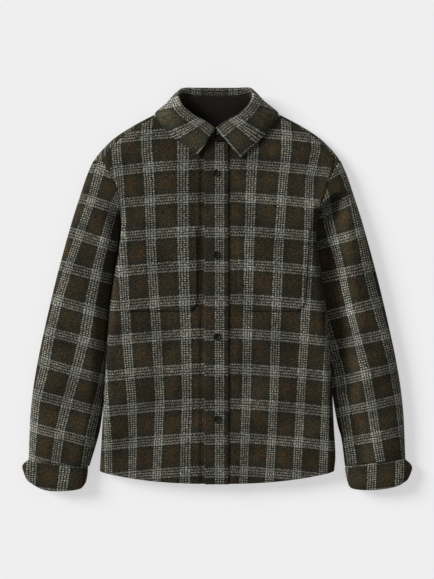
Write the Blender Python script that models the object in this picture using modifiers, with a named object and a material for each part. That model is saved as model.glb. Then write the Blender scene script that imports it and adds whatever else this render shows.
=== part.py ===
"""A button-front plaid shacket laid flat on its back, in metres with +Z up.

X runs across the garment, Y from the hem to the collar, and Z up from the surface that it lies on.
Right and left are the wearer's: the right front is at -X. The sizes below are in millimetres.
"""

import bmesh
import bpy
import numpy as np

MM = 0.001

# Cloth and seams
CLOTH = 2.2  # thickness of the body cloth
COLLAR_CLOTH = 2.4
STAND_CLOTH = 1.3
LINING_CLOTH = 1.1
SEAM_GAP = 0.3  # between two pieces sewn together
VALLEY = 3.0  # between the body's side and the sleeve beside it

# Heights of the laid garment above the surface
BODY_NOSE = 11.0  # height of the fold along the sides
SLEEVE_NOSE = 13.0
NOSE_RADIUS = 26.0  # how far in from a fold the front takes to reach its full height
SHOULDER_RADIUS = 40.0
SLEEVE_RADIUS = 48.0
UNDER_RADIUS = 12.0  # the same for the underside, which is flat further in
BODY_HEIGHT = (  # y, height of the front's outside
    (345.0, 27.0),
    (240.0, 29.0),
    (80.0, 28.0),
    (-100.0, 26.0),
    (-380.0, 22.0),
)
SLEEVE_HEIGHT = (  # share of the sleeve's length, height
    (0.0, 29.0),
    (0.25, 35.0),
    (0.6, 33.0),
    (1.0, 28.0),
)

# Outline of one half: shoulder fold from the neck, then the sleeve's outer fold down to the cuff
SHOULDER_FOLD = (  # x, y
    (80.5, 358.5),
    (119.0, 342.7),
    (163.8, 319.3),
    (199.8, 295.9),
    (224.2, 272.5),
    (241.3, 251.5),
)
SLEEVE_FOLD = (  # x, y
    (241.3, 251.5),
    (254.0, 222.0),
    (266.7, 184.0),
    (286.6, 120.4),
    (317.8, 3.4),
    (349.1, -137.0),
    (362.7, -230.6),
    (367.6, -329.0),
)
BODY_SIDE = (  # y, x on the right, x on the left
    (151.6, 190.0, 200.8),
    (116.5, 188.6, 196.0),
    (77.5, 193.0, 197.9),
    (38.5, 199.9, 203.8),
    (-29.7, 209.6, 213.5),
    (-98.0, 215.5, 220.3),
    (-185.7, 220.3, 225.4),
    (-263.7, 224.2, 228.7),
    (-322.0, 227.2, 231.7),
    (-354.0, 229.0, 229.0),
)
SLEEVE_INNER_END = (  # where the sleeve turns away from the body: y, x on the right, x on the left
    (-258.0, 229.0, 235.2),
    (-292.0, 236.5, 244.3),
    (-344.0, 251.5, 249.6),
)
ARMHOLE_FRONT = (  # from the shoulder seam to the underarm: x and y on the right, x and y on the left
    (222.3, 249.1, 237.0, 247.0),
    (212.5, 233.5, 228.2, 231.6),
    (201.6, 212.1, 218.4, 210.1),
    (194.0, 191.0, 212.0, 188.7),
    (191.0, 170.0, 205.7, 169.2),
    (190.0, 151.6, 200.8, 151.6),
)
ARMHOLE_BACK = (  # from the shoulder fold to the underarm: x, y on the right, then on the left
    (241.3, 251.5, 241.3, 251.5),
    (221.0, 236.0, 226.0, 234.0),
    (205.0, 208.0, 212.0, 206.0),
    (194.0, 178.0, 204.0, 178.0),
    (190.0, 151.6, 200.8, 151.6),
)
SHOULDER_SEAM = {  # from the fold to the shoulder seam, at the neck and at the armhole: x, y
    "right": (-1.9, -4.6, -19.0, -2.4),
    "left": (-1.9, -3.8, -4.3, -4.5),
}
SEAM_CURVE = 2.4  # how late the seam leaves the fold on its way to the armhole
HEM_LOW = -378.0
HEM_RISE = 24.0  # from the centre to the side
HEM_POWER = 2.5
HEM_HALF = 229.0

# Neck edge of one front, from the centre to the shoulder seam, and of half the back
NECK_FRONT = (  # x, y
    (0.0, 286.3),
    (20.0, 288.5),
    (36.0, 294.0),
    (52.0, 303.0),
    (66.0, 314.5),
    (77.0, 332.0),
)
NECK_BACK = (  # x, y
    (0.0, 341.7),
    (21.0, 342.1),
    (42.0, 344.3),
    (62.0, 350.0),
    (80.5, 358.5),
)

# Centre front: the left front laps over the right one
PLACKET_EDGE = -23.5
PLACKET_WIDTH = 46.0
LAP_STEP = 2.7  # how far the right front drops to pass under the left one
LAP_START = -36.5
LAP_RUN = 7.0
NECK_LAST = 70.0  # x of the neck edge's last point before the shoulder seam
FRONT_NECK_COLUMNS = (0.0, 23.0, 46.5, 60.0, 75.0, 90.0)  # distance from each front's centre edge
FRONT_HEM_COLUMNS = (0.0, 23.0, 46.5, 63.0, 84.0, 105.0)
SIDE_COLUMNS = (108.0, 87.0, 66.0, 47.0, 30.0, 16.0, 6.0, 1.2, 0.0)  # distance from the side fold
BACK_NECK_COLUMNS = (25.0, 50.0, 75.0, 97.0)
ARMHOLE_ROWS = (0.0, 0.22, 0.43, 0.62, 0.78, 0.9, 0.97, 1.0)  # share of the armhole's length
SIDE_ROWS = 13

# Largest soft folds: a trough from one point to another, in x and y, with its half width and depth
TROUGHS = (
    (-176.0, 262.0, -180.0, 172.0, 15.0, 3.6),
    (196.0, 258.0, 189.0, 168.0, 14.0, 3.2),
    (-96.0, -60.0, -118.0, -300.0, 20.0, 2.2),
    (-34.0, -120.0, -52.0, -330.0, 12.0, 1.6),
    (60.0, -70.0, 74.0, -330.0, 16.0, 2.0),
    (148.0, -60.0, 160.0, -310.0, 18.0, 2.2),
    (-262.0, 120.0, -222.0, 96.0, 13.0, 3.0),
    (-300.0, -20.0, -238.0, -48.0, 12.0, 3.4),
    (-330.0, -190.0, -262.0, -232.0, 11.0, 2.4),
    (268.0, 124.0, 226.0, 92.0, 13.0, 3.0),
    (306.0, -24.0, 246.0, -56.0, 12.0, 3.2),
    (338.0, -176.0, 268.0, -214.0, 11.0, 2.6),
)

# Sleeves and cuffs
SLEEVE_RINGS = 15
RING_LAG = 0.1  # how far the inner fold's rings trail the outer ones, for the bend of the sleeve
HEAD_SHARE = 0.26  # share of the sleeve that its head shapes
CUFF_PROUD = 0.8
CUFF_SEAM = {  # inner end, outer end: x, y
    "right": ((251.5, -345.4), (367.6, -331.0)),
    "left": ((249.6, -344.2), (367.6, -330.0)),
}
CUFF_OUTER = {  # outer fold with the band's end standing out: x, y
    "right": ((367.6, -331.0), (380.0, -342.5), (377.5, -356.0), (371.9, -370.4)),
    "left": ((367.6, -330.0), (380.6, -343.5), (378.5, -357.5), (372.4, -370.4)),
}
CUFF_INNER = {
    "right": ((251.5, -345.4), (252.4, -360.0), (255.5, -375.5)),
    "left": ((249.6, -344.2), (251.2, -360.0), (254.6, -375.0)),
}
CUFF_LOWER = {  # open end, from the inner corner to the outer one
    "right": ((255.5, -375.5), (268.3, -387.4), (308.5, -391.5), (340.3, -387.4), (371.9, -370.4)),
    "left": ((254.6, -375.0), (264.0, -386.4), (302.0, -389.3), (345.9, -383.1), (372.4, -370.4)),
}
CUFF_RADIUS = 34.0
CUFF_HEIGHT = 26.0
CUFF_ROWS = 5

# Pockets: corners in x and y, top outer, top inner, then the lower edge
POCKET_CHAMFER = 13.0
POCKET_LIFT = 0.8
POCKETS = {  # outer x at the top, halfway and at the bottom, inner x, top y, bottom y
    "right": (-182.0, -191.5, -192.0, -39.0, 119.5, -41.4),
    "left": (179.5, 174.5, 168.0, 41.9, 116.5, -41.4),
}

# Collar: rows from the back's centre to the front, for each side
# Columns: tip of the roll x, y, z; neck seam x, y, z; free edge x, y, z
COLLAR = {
    "right": (
        (0.0, 391.0, 30.0, 0.0, 341.2, 3.0, 0.0, 362.0, 2.6),
        (-40.0, 391.2, 31.0, -29.0, 342.4, 3.2, -41.0, 363.0, 2.6),
        (-67.0, 389.5, 34.5, -55.0, 347.0, 4.6, -71.0, 372.5, 2.6),
        (-75.5, 377.0, 40.5, -72.0, 353.0, 9.0, -94.5, 366.0, 3.5),
        (-69.5, 361.2, 44.0, -78.0, 348.5, 24.0, -119.6, 346.8, 12.5),
        (-64.5, 354.5, 44.5, -77.5, 341.0, 28.5, -118.0, 337.0, 25.0),
        (-57.0, 347.5, 44.5, -74.5, 332.5, 30.2, -111.0, 322.2, 31.5),
        (-38.5, 334.5, 42.0, -61.0, 312.5, 31.0, -91.7, 300.8, 34.0),
        (-19.8, 325.2, 39.5, -36.0, 295.5, 31.2, -65.0, 280.0, 34.0),
        (-3.1, 313.0, 37.0, -3.1, 288.0, 31.4, -36.5, 261.5, 34.2),
    ),
    "left": (
        (0.0, 391.0, 30.0, 0.0, 341.2, 3.0, 0.0, 362.0, 2.6),
        (39.0, 391.2, 31.0, 29.0, 342.4, 3.2, 40.0, 363.0, 2.6),
        (65.0, 390.0, 34.5, 55.0, 347.0, 4.6, 69.0, 372.5, 2.6),
        (70.0, 376.0, 40.5, 71.5, 353.0, 9.0, 94.5, 366.0, 3.5),
        (62.5, 361.2, 44.0, 78.0, 348.5, 24.0, 119.0, 346.5, 12.5),
        (57.5, 354.5, 44.5, 77.5, 341.0, 28.5, 118.0, 337.0, 25.0),
        (50.5, 347.8, 44.5, 74.5, 332.5, 30.2, 110.5, 323.5, 31.5),
        (35.0, 335.5, 42.0, 61.0, 312.5, 31.0, 91.5, 299.0, 34.0),
        (14.5, 325.5, 39.5, 36.0, 295.5, 31.2, 65.0, 271.5, 34.0),
        (-2.3, 313.0, 37.0, -2.3, 288.0, 31.4, 46.3, 255.6, 34.2),
    ),
}
ROLL_RADIUS = 3.8
STRIP = 11.0  # width of the collar cloth that shows inside the neck, below the roll
FALL_BULGE = 4.0
COLLAR_STEPS = 13  # along each side
FACING_DEPTH = 62.0  # of the brown facing inside the back neck
FACING_HALF = 55.0

# Buttons
BUTTON_RADIUS = 7.0
BUTTON_THICK = 2.6
BUTTON_RIM = 1.3
BUTTONS = ((-1.9, 225.7), (-1.0, 66.8), (0.0, -91.2), (0.0, -251.1))

# Colour (linear), roughness
PLAID = ((0.035, 0.032, 0.022, 1.0), 0.92)
BROWN = ((0.014, 0.011, 0.009, 1.0), 0.85)
HORN = ((0.010, 0.009, 0.007, 1.0), 0.45)

SIGN = {"right": -1.0, "left": 1.0}


# Curves and tables


def column(table, index):
    return np.array([row[index] for row in table], float)


def value_at(table, where, index=1):
    """The table's column at a place along its first column, read linearly."""
    order = np.argsort(column(table, 0))
    return np.interp(where, column(table, 0)[order], column(table, index)[order])


def smooth_line(points, stops, fine=14):
    """Points at the given shares of the length of a smooth curve through points."""
    given = np.array(points, float)
    ends = np.vstack([2 * given[0] - given[1], given, 2 * given[-1] - given[-2]])
    share = np.linspace(0.0, 1.0, fine, endpoint=False)[:, None]
    runs = []
    for before, start, end, after in zip(ends, ends[1:], ends[2:], ends[3:]):
        bend = 2 * before - 5 * start + 4 * end - after
        twist = 3 * (start - end) + after - before
        runs.append(start + 0.5 * share * (end - before + share * (bend + share * twist)))
    curve = np.vstack([*runs, given[-1:]])
    length = np.concatenate([[0.0], np.cumsum(np.linalg.norm(np.diff(curve, axis=0), axis=1))])
    wanted = np.asarray(stops, float) * length[-1]
    return np.stack([np.interp(wanted, length, curve[:, axis]) for axis in range(curve.shape[1])], -1)


def even(count):
    return np.linspace(0.0, 1.0, count + 1)


def soft_step(share):
    held = np.clip(share, 0.0, 1.0)
    return held * held * (3 - 2 * held)


def unit(vectors):
    return vectors / np.maximum(np.linalg.norm(vectors, axis=-1, keepdims=True), 1e-9)


def across(line):
    """Unit vectors square to a line in plan, turned to its left."""
    run = unit(np.gradient(np.asarray(line, float), axis=0))
    return np.stack([-run[:, 1], run[:, 0]], -1)


# The garment's fold lines


def side_points(table, side):
    """A four-column table's points on one side, in plan."""
    first = 0 if side == "right" else 2
    return np.stack([SIGN[side] * column(table, first), column(table, first + 1)], -1)


def mirrored(points, side):
    return np.array(points, float) * (SIGN[side], 1.0)


def body_side(side, stops):
    index = 1 if side == "right" else 2
    points = np.stack([SIGN[side] * column(BODY_SIDE, index), column(BODY_SIDE, 0)], -1)
    return smooth_line(points, stops)


def sleeve_inner(side, stops):
    """The sleeve's inner fold: beside the body down to where it turns away, then to the cuff."""
    index = 1 if side == "right" else 2
    x = column(BODY_SIDE, index)[:7] + VALLEY * np.array([0.15, 0.9, 1, 1, 1, 1, 1])
    beside = np.stack([SIGN[side] * x, column(BODY_SIDE, 0)[:7]], -1)
    away = np.stack([SIGN[side] * column(SLEEVE_INNER_END, index), column(SLEEVE_INNER_END, 0)], -1)
    return smooth_line(np.vstack([beside, away]), stops)


def outer_fold(side):
    shoulder = smooth_line(mirrored(SHOULDER_FOLD, side), even(24))
    sleeve = smooth_line(mirrored(SLEEVE_FOLD, side), even(40))
    return np.vstack([shoulder, sleeve[1:]])


def distance_from(line, inward, plan):
    """Distance in plan to a fold line, and the unit direction that leads away from it into the cloth."""
    start = line[:-1]
    run = line[1:] - start
    to_point = plan[..., None, :] - start
    share = np.clip((to_point * run).sum(-1) / (run * run).sum(-1), 0.0, 1.0)
    gap = to_point - share[..., None] * run
    distance = np.linalg.norm(gap, axis=-1)
    nearest = distance.argmin(-1)[..., None]
    distance = np.take_along_axis(distance, nearest, -1)[..., 0]
    gap = np.take_along_axis(gap, nearest[..., None], -2)[..., 0, :]
    square = unit(np.stack([-run[:, 1], run[:, 0]], -1))
    square *= np.sign((square * inward).sum(-1, keepdims=True))
    beside = square[nearest[..., 0]]
    away = np.where(distance[..., None] > 0.2, unit(gap), beside)
    return distance, away


def creases(plan):
    """How far the soft troughs lower the cloth."""
    drop = np.zeros(plan.shape[:-1])
    for x0, y0, x1, y1, half, depth in TROUGHS:
        start = np.array([x0, y0])
        run = np.array([x1, y1]) - start
        share = ((plan - start) @ run) / (run @ run)
        side = np.linalg.norm(plan - start - share[..., None] * run, axis=-1)
        ends = soft_step((share + 0.15) / 0.4) * soft_step((1.15 - share) / 0.4)
        drop += depth * ends * np.exp(-((side / half) ** 2))
    return drop


def lift_from(folds, plan, reach):
    """Share of full height that the cloth has, and its slope in plan, from each fold's distance."""
    share = np.ones(plan.shape[:-1])
    slope = np.zeros(plan.shape)
    for line, inward, radius in folds:
        far = radius if reach is None else reach
        distance, away = distance_from(line, inward, plan)
        left = 1 - np.clip(distance, 0.02, far) / far
        rise = np.sqrt(1 - left**2)
        slope = slope * rise[..., None] + (share * left / rise / far)[..., None] * away
        share = share * rise
    return share, slope


def upper_sheet(plan, folds, height, nose):
    """Points and outward normals of the cloth on top."""
    share, slope = lift_from(folds, plan, None)
    z = nose + (height - nose) * share - creases(plan) * share**2
    flat = slope * (height - nose)[..., None]
    normal = np.concatenate([-flat, np.where(share < 0.08, 0.0, 1.0)[..., None]], -1)
    return np.concatenate([plan, z[..., None]], -1), unit(normal)


def lower_sheet(plan, folds, nose):
    """Points and outward normals of the cloth underneath, flat on the surface but for its edges."""
    share, slope = lift_from(folds, plan, UNDER_RADIUS)
    z = nose * (1 - share)
    flat = slope * nose[..., None]
    normal = np.concatenate([-flat, np.where(share < 0.12, 0.0, -1.0)[..., None]], -1)
    return np.concatenate([plan, z[..., None]], -1), unit(normal)


def body_folds(side):
    inward = np.array([-SIGN[side], -0.6])
    return (
        (body_side(side, even(40)), np.array([-SIGN[side], 0.0]), NOSE_RADIUS),
        (outer_fold(side), inward, SHOULDER_RADIUS),
    )


def body_top(plan, side):
    height = value_at(BODY_HEIGHT, plan[..., 1])
    return upper_sheet(plan, body_folds(side), height, np.full(height.shape, BODY_NOSE))


def body_bottom(plan, side):
    return lower_sheet(plan, body_folds(side), np.full(plan.shape[:-1], BODY_NOSE))


# Meshes and materials


def material(name, finish):
    made = bpy.data.materials.new(name)
    made.use_nodes = True
    shader = made.node_tree.nodes["Principled BSDF"]
    shader.inputs["Base Color"].default_value = finish[0]
    shader.inputs["Roughness"].default_value = finish[1]
    shader.inputs["Metallic"].default_value = 0.0
    return made


def new_object(name, mesh, finish):
    mesh.materials.append(material(name + "_finish", finish))
    mesh.shade_smooth()
    mesh.set_sharp_from_angle(angle=np.radians(50))
    made = bpy.data.objects.new(name, mesh)
    bpy.data.collections["shacket"].objects.link(made)
    return made


def cloth_wall(name, outer, inner, finish, holes=None, ring=False):
    """A wall between two skins of points in rows and columns. Cells marked in holes stay open.

    A ring's last column joins its first one.
    """
    rows, columns = outer.shape[:2]
    shape = bmesh.new()
    skins = [[[shape.verts.new(point * MM) for point in row] for row in skin] for skin in (outer, inner)]
    spans = columns if ring else columns - 1
    kept = np.ones((rows - 1, spans), bool) if holes is None else ~holes
    for row, column_at in zip(*np.nonzero(kept)):
        after = (column_at + 1) % columns
        corners = ((row, column_at), (row, after), (row + 1, after), (row + 1, column_at))
        shape.faces.new([skins[0][r][c] for r, c in corners])
        shape.faces.new([skins[1][r][c] for r, c in (corners[0], *corners[:0:-1])])
        beyond = ((row - 1, column_at), (row, column_at + 1), (row + 1, column_at), (row, column_at - 1))
        for (r, c), start, end in zip(beyond, corners, corners[1:] + corners[:1]):
            c = c % spans if ring else c
            if 0 <= r < rows - 1 and 0 <= c < spans and kept[r, c]:
                continue
            (r0, c0), (r1, c1) = start, end
            shape.faces.new([skins[0][r1][c1], skins[0][r0][c0], skins[1][r0][c0], skins[1][r1][c1]])
    loose = [point for point in shape.verts if not point.link_faces]
    bmesh.ops.delete(shape, geom=loose, context="VERTS")
    bmesh.ops.recalc_face_normals(shape, faces=shape.faces)
    if shape.calc_volume(signed=True) < 0:
        bmesh.ops.reverse_faces(shape, faces=shape.faces)
    mesh = bpy.data.meshes.new(name)
    shape.to_mesh(mesh)
    shape.free()
    return new_object(name, mesh, finish)


def panel(name, points, normals, thick, finish, **options):
    return cloth_wall(name, points, points - thick * normals, finish, **options)


def shell(name, points, thick, finish):
    """An open surface with its wall added by a modifier, inwards from the outside."""
    rows, columns = points.shape[:2]
    shape = bmesh.new()
    grid = [[shape.verts.new(point * MM) for point in row] for row in points]
    for row in range(rows - 1):
        for c in range(columns - 1):
            shape.faces.new((grid[row][c], grid[row][c + 1], grid[row + 1][c + 1], grid[row + 1][c]))
    mesh = bpy.data.meshes.new(name)
    shape.to_mesh(mesh)
    shape.free()
    made = new_object(name, mesh, finish)
    wall = made.modifiers.new("Wall", "SOLIDIFY")
    wall.thickness = thick * MM
    wall.offset = -1.0
    wall.use_quality_normals = True
    return made


def patch(top, bottom, first, last, columns, rows):
    """Points filled in between four border lines, by each column's and each row's share."""
    a = columns[None, :, None]
    b = rows[:, None, None]
    between = (1 - b) * top[None] + b * bottom[None] + (1 - a) * first[:, None] + a * last[:, None]
    corners = (1 - a) * ((1 - b) * top[0] + b * first[-1]) + a * ((1 - b) * top[-1] + b * last[-1])
    return between - corners


# Body panels


def hem_y(x):
    return HEM_LOW + HEM_RISE * np.minimum(np.abs(x) / HEM_HALF, 1.0) ** HEM_POWER


def side_rows(side):
    """The body's side from the underarm to the hem, with rows closer together near the underarm."""
    line = body_side(side, even(SIDE_ROWS) ** 1.2)
    line[-1, 1] = hem_y(line[-1, 0])
    return line


def shoulder_seam(side, gap):
    """The shoulder fold from the neck to the armhole, and the way from it to the seam, gap further on."""
    share = even(len(SIDE_COLUMNS) - 1)
    fold = smooth_line(mirrored(SHOULDER_FOLD, side), share)
    at_neck, at_arm = np.array(SHOULDER_SEAM[side]).reshape(2, 2) * (SIGN[side], 1.0)
    way = at_neck + (at_arm - at_neck) * (share**SEAM_CURVE)[:, None]
    return fold, way + gap * unit(way)


def front(side):
    """One front, from its neck and shoulder seam to the hem."""
    sign = SIGN[side]
    edge = PLACKET_EDGE + 1.0 if side == "left" else PLACKET_EDGE + PLACKET_WIDTH - 2.0
    along = sign * edge
    neck_x = along + np.array(FRONT_NECK_COLUMNS)
    neck_x[-1] = NECK_LAST
    neck_y = np.interp(np.abs(neck_x), column(NECK_FRONT, 0), column(NECK_FRONT, 1))
    fold, way = shoulder_seam(side, SEAM_GAP / 2)
    seam = fold + way
    top = np.vstack([np.stack([sign * neck_x, neck_y], -1), seam])
    arm = smooth_line(side_points(ARMHOLE_FRONT, side), ARMHOLE_ROWS)
    arm = arm + across(arm) * (sign * -SEAM_GAP / 2)
    seam[-1] = arm[0] + (way[-1] - way[-1] * (1 - SEAM_GAP / 2 / np.linalg.norm(way[-1])))
    arm[0] = seam[-1]
    top[-1] = seam[-1]
    last = np.vstack([arm[:-1], side_rows(side)])
    hem_x = np.concatenate([along + np.array(FRONT_HEM_COLUMNS), sign * last[-1, 0] - np.array(SIDE_COLUMNS)])
    bottom = np.stack([sign * hem_x, hem_y(hem_x)], -1)
    rows = (last[0, 1] - last[:, 1]) / (last[0, 1] - last[-1, 1])
    columns = (hem_x - hem_x[0]) / (hem_x[-1] - hem_x[0])
    first = np.stack([np.full(rows.shape, edge), top[0, 1] + rows * (bottom[0, 1] - top[0, 1])], -1)
    plan = patch(top, bottom, first, last, columns, rows)
    points, normals = body_top(plan, side)
    points[..., 2] -= lap_drop(plan[..., 0]) if side == "right" else 0.0
    points[len(ARMHOLE_ROWS) - 1 :, -1, 2] = BODY_NOSE + SEAM_GAP / 2
    return panel("front_" + side, points, normals, CLOTH, PLAID)


def lap_drop(x):
    return LAP_STEP * soft_step((x - LAP_START) / LAP_RUN)


def back():
    """The back, flat underneath, with its shoulders rolled forward over the fold."""
    shoulder = len(SIDE_COLUMNS) - 1
    folds = {side: shoulder_seam(side, -SEAM_GAP / 2) for side in SIGN}
    for fold, _ in folds.values():
        fold[-1] += 3 * SEAM_GAP * unit(fold[-2] - fold[-1])
    neck = np.array(NECK_BACK)
    whole_neck = np.vstack([neck[::-1] * (-1, 1), neck[1:]])
    top = np.vstack([folds["right"][0][::-1], whole_neck[1:-1], folds["left"][0]])
    hem_x = np.concatenate([-HEM_HALF + np.array(SIDE_COLUMNS)[::-1], -np.array(BACK_NECK_COLUMNS)[-2::-1]])
    hem_x = np.concatenate([hem_x, [0.0], -hem_x[::-1]])
    bottom = np.stack([hem_x, hem_y(hem_x)], -1)
    borders = {}
    for side in SIGN:
        arm = smooth_line(side_points(ARMHOLE_BACK, side), ARMHOLE_ROWS)
        arm = arm + across(arm) * (-SIGN[side] * SEAM_GAP / 2)
        arm[0] = folds[side][0][-1]
        borders[side] = np.vstack([arm[:-1], side_rows(side)])
    rows = (borders["left"][0, 1] - borders["left"][:, 1]) / (borders["left"][0, 1] - borders["left"][-1, 1])
    columns = (hem_x - hem_x[0]) / (hem_x[-1] - hem_x[0])
    plan = patch(top, bottom, borders["right"], borders["left"], columns, rows)
    half = plan.shape[1] // 2
    points, normals = body_bottom(plan[:, : half + 1], "right")
    more_points, more_normals = body_bottom(plan[:, half + 1 :], "left")
    points = np.concatenate([points, more_points], 1)
    normals = np.concatenate([normals, more_normals], 1)
    points[1:, (0, -1), 2] = np.minimum(points[1:, (0, -1), 2], BODY_NOSE - SEAM_GAP / 2)
    steps = np.array([1.0, 0.45, 0.14])
    roll_points = np.repeat(points[:1], len(steps), 0)
    roll_normals = np.repeat(normals[:1], len(steps), 0)
    for side, place in (("right", slice(shoulder, None, -1)), ("left", slice(points.shape[1] - shoulder - 1, None))):
        fold, way = folds[side]
        rolled = fold[None] + way[None] * steps[:, None, None]
        made = body_top(rolled, side)
        roll_points[:, place] = made[0]
        roll_normals[:, place] = made[1]
    points = np.concatenate([roll_points, points])
    normals = np.concatenate([roll_normals, normals])
    holes = np.zeros((points.shape[0] - 1, points.shape[1] - 1), bool)
    holes[: len(steps), shoulder : points.shape[1] - shoulder - 1] = True
    return panel("back", points, normals, CLOTH, PLAID, holes=holes)


# Sleeves


def sleeve(side):
    """A sleeve from the armhole to the cuff seam, as rings of an upper and a lower half."""
    sign = SIGN[side]
    outward = np.array([sign, 0.0])
    front_arm = smooth_line(side_points(ARMHOLE_FRONT, side), ARMHOLE_ROWS)
    fold_point = mirrored(SHOULDER_FOLD, side)[-1]
    upper_head = np.vstack([front_arm[::-1], fold_point])
    lower_head = smooth_line(side_points(ARMHOLE_BACK, side), ARMHOLE_ROWS)[::-1]
    share_up = np.append(head_shares(front_arm[::-1], fold_point), 1.0)
    share_low = 1 - np.array(ARMHOLE_ROWS)[::-1]
    steps = even(SLEEVE_RINGS) ** 1.15
    outer = smooth_line(mirrored(SLEEVE_FOLD, side), steps)
    outer[-1] = mirrored([CUFF_SEAM[side][1]], side)[0]
    inner = sleeve_inner(side, steps - RING_LAG * np.sin(np.pi * steps))
    inner[-1] = mirrored([CUFF_SEAM[side][0]], side)[0]
    folds = (
        (sleeve_inner(side, even(40)), outward, None),
        (outer_fold(side), np.array([-sign, -0.6]), None),
    )
    rings = []
    for index, share in enumerate(steps):
        whole = soft_step(share / HEAD_SHARE)
        height = np.interp(share, column(SLEEVE_HEIGHT, 0), column(SLEEVE_HEIGHT, 1))
        nose = BODY_NOSE + whole * (SLEEVE_NOSE - BODY_NOSE)
        radii = (
            NOSE_RADIUS + whole * (SLEEVE_RADIUS - NOSE_RADIUS),
            SHOULDER_RADIUS + whole * (SLEEVE_RADIUS - SHOULDER_RADIUS),
        )
        here = [(line, way, radius) for (line, way, _), radius in zip(folds, radii)]
        held = (1 - np.clip(share / HEAD_SHARE, 0, 1)) ** 2
        halves = []
        for head, shares in ((upper_head, share_up), (lower_head, share_low)):
            chord = head[0] + shares[:, None] * (head[-1] - head[0])
            even_shares = shares * held + (1 - held) * spread(len(shares))
            line = inner[index] + even_shares[:, None] * (outer[index] - inner[index])
            halves.append(line + held * (head - chord))
        if index == 0:
            halves = [half + SEAM_GAP / 2 * sign * across(half)[:, :] * (-1, -1) for half in halves]
        top_height = np.full(len(halves[0]), height)
        if share < HEAD_SHARE:
            body = value_at(BODY_HEIGHT, halves[0][:, 1])
            top_height = body + whole * (height - body)
        up = upper_sheet(halves[0], here, top_height, np.full(len(halves[0]), nose))
        low = lower_sheet(halves[1], here, np.full(len(halves[1]), nose))
        if sign < 0:
            ring = [np.concatenate([a[::-1], b[1:-1]]) for a, b in zip(up, low)]
        else:
            ring = [np.concatenate([a, b[::-1][1:-1]]) for a, b in zip(up, low)]
        rings.append(ring)
    points = np.stack([ring[0] for ring in rings])
    normals = np.stack([ring[1] for ring in rings])
    normals[-1] = along_seam(normals[-1], outer[-1] - inner[-1])
    return panel("sleeve_" + side, points, normals, CLOTH, PLAID, ring=True)


def along_seam(normals, seam):
    """Normals turned to run along a seam, so that the walls on both sides of it meet squarely."""
    square = unit(np.array([-seam[1], seam[0], 0.0]))
    return unit(normals - (normals @ square)[..., None] * square)


def head_shares(line, end):
    """Share of the way from the first point to the end point, for each point of a line."""
    length = np.concatenate([[0.0], np.cumsum(np.linalg.norm(np.diff(line, axis=0), axis=1))])
    return length / (length[-1] + np.linalg.norm(end - line[-1]))


def spread(count):
    """Shares from 0 to 1, closer together at both ends."""
    return (1 - np.cos(np.pi * even(count - 1))) / 2


def cuff(side):
    """A cuff: one band around the wrist, its two ends pressed together where they stand out."""
    sign = SIGN[side]
    gap = np.array([0.0, -0.5])
    stops = even(CUFF_ROWS)
    count = 13
    inner = smooth_line(mirrored(CUFF_INNER[side], side), stops)
    outer = smooth_line(mirrored(CUFF_OUTER[side], side), stops)
    top = inner[0] + spread(count)[:, None] * (outer[0] - inner[0])
    bottom = smooth_line(mirrored(CUFF_LOWER[side], side), spread(count))
    plan = patch(top, bottom, inner, outer, spread(count), stops) + gap
    folds = (
        (smooth_line(mirrored(CUFF_INNER[side], side), even(20)) + gap, np.array([sign, 0.0]), CUFF_RADIUS),
        (smooth_line(mirrored(CUFF_OUTER[side], side), even(20)) + gap, np.array([-sign, 0.0]), CUFF_RADIUS),
    )
    height = np.full(plan.shape[:-1], CUFF_HEIGHT + CUFF_PROUD)
    nose = np.full(plan.shape[:-1], SLEEVE_NOSE)
    up = upper_sheet(plan, folds, height, nose)
    low = lower_sheet(plan, folds, nose)
    up[0][:, -1, 2] += SEAM_GAP
    points = np.concatenate([up[0][:, ::-1], low[0][:, 1:]], 1)
    normals = np.concatenate([up[1][:, ::-1], low[1][:, 1:]], 1)
    normals[0] = along_seam(normals[0], outer[0] - inner[0])
    return panel("cuff_" + side, points, normals, CLOTH, PLAID)


# What lies on the fronts


def placket():
    """The button band on the left front's edge."""
    y = np.linspace(NECK_FRONT[0][1] - 0.5, HEM_LOW, SIDE_ROWS + 9)
    x = PLACKET_EDGE + PLACKET_WIDTH * even(4)
    plan = np.stack(np.meshgrid(x, y), -1)
    points, normals = body_top(plan, "left")
    lift = SEAM_GAP + 0.1 + CLOTH
    return panel("placket", points + lift * normals, normals, CLOTH - 0.1, PLAID)


def pocket(side):
    """A patch pocket with its lower corners cut off."""
    top_x, middle_x, low_x, inner_x, top_y, low_y = POCKETS[side]
    rows = np.append(np.linspace(top_y, low_y + POCKET_CHAMFER, 10), (low_y + POCKET_CHAMFER / 2, low_y))
    outer_x = smooth_line(((top_x, top_y), (middle_x, (top_y + low_y) / 2), (low_x, low_y)), even(40))
    outer = np.interp(rows, outer_x[::-1, 1], outer_x[::-1, 0])
    cut = np.clip(low_y + POCKET_CHAMFER - rows, 0, None) * SIGN[side]
    outer = outer - cut * 0.9
    inner = inner_x + cut * 0.9
    share = 1 - (1 - even(11)) ** 1.5
    x = inner[:, None] + share[None] * (outer - inner)[:, None]
    plan = np.stack([x, np.repeat(rows[:, None], x.shape[1], 1)], -1)
    points, normals = body_top(plan, side)
    lift = POCKET_LIFT + CLOTH
    return panel("pocket_" + side, points + lift * normals, normals, CLOTH - 0.1, PLAID)


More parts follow.
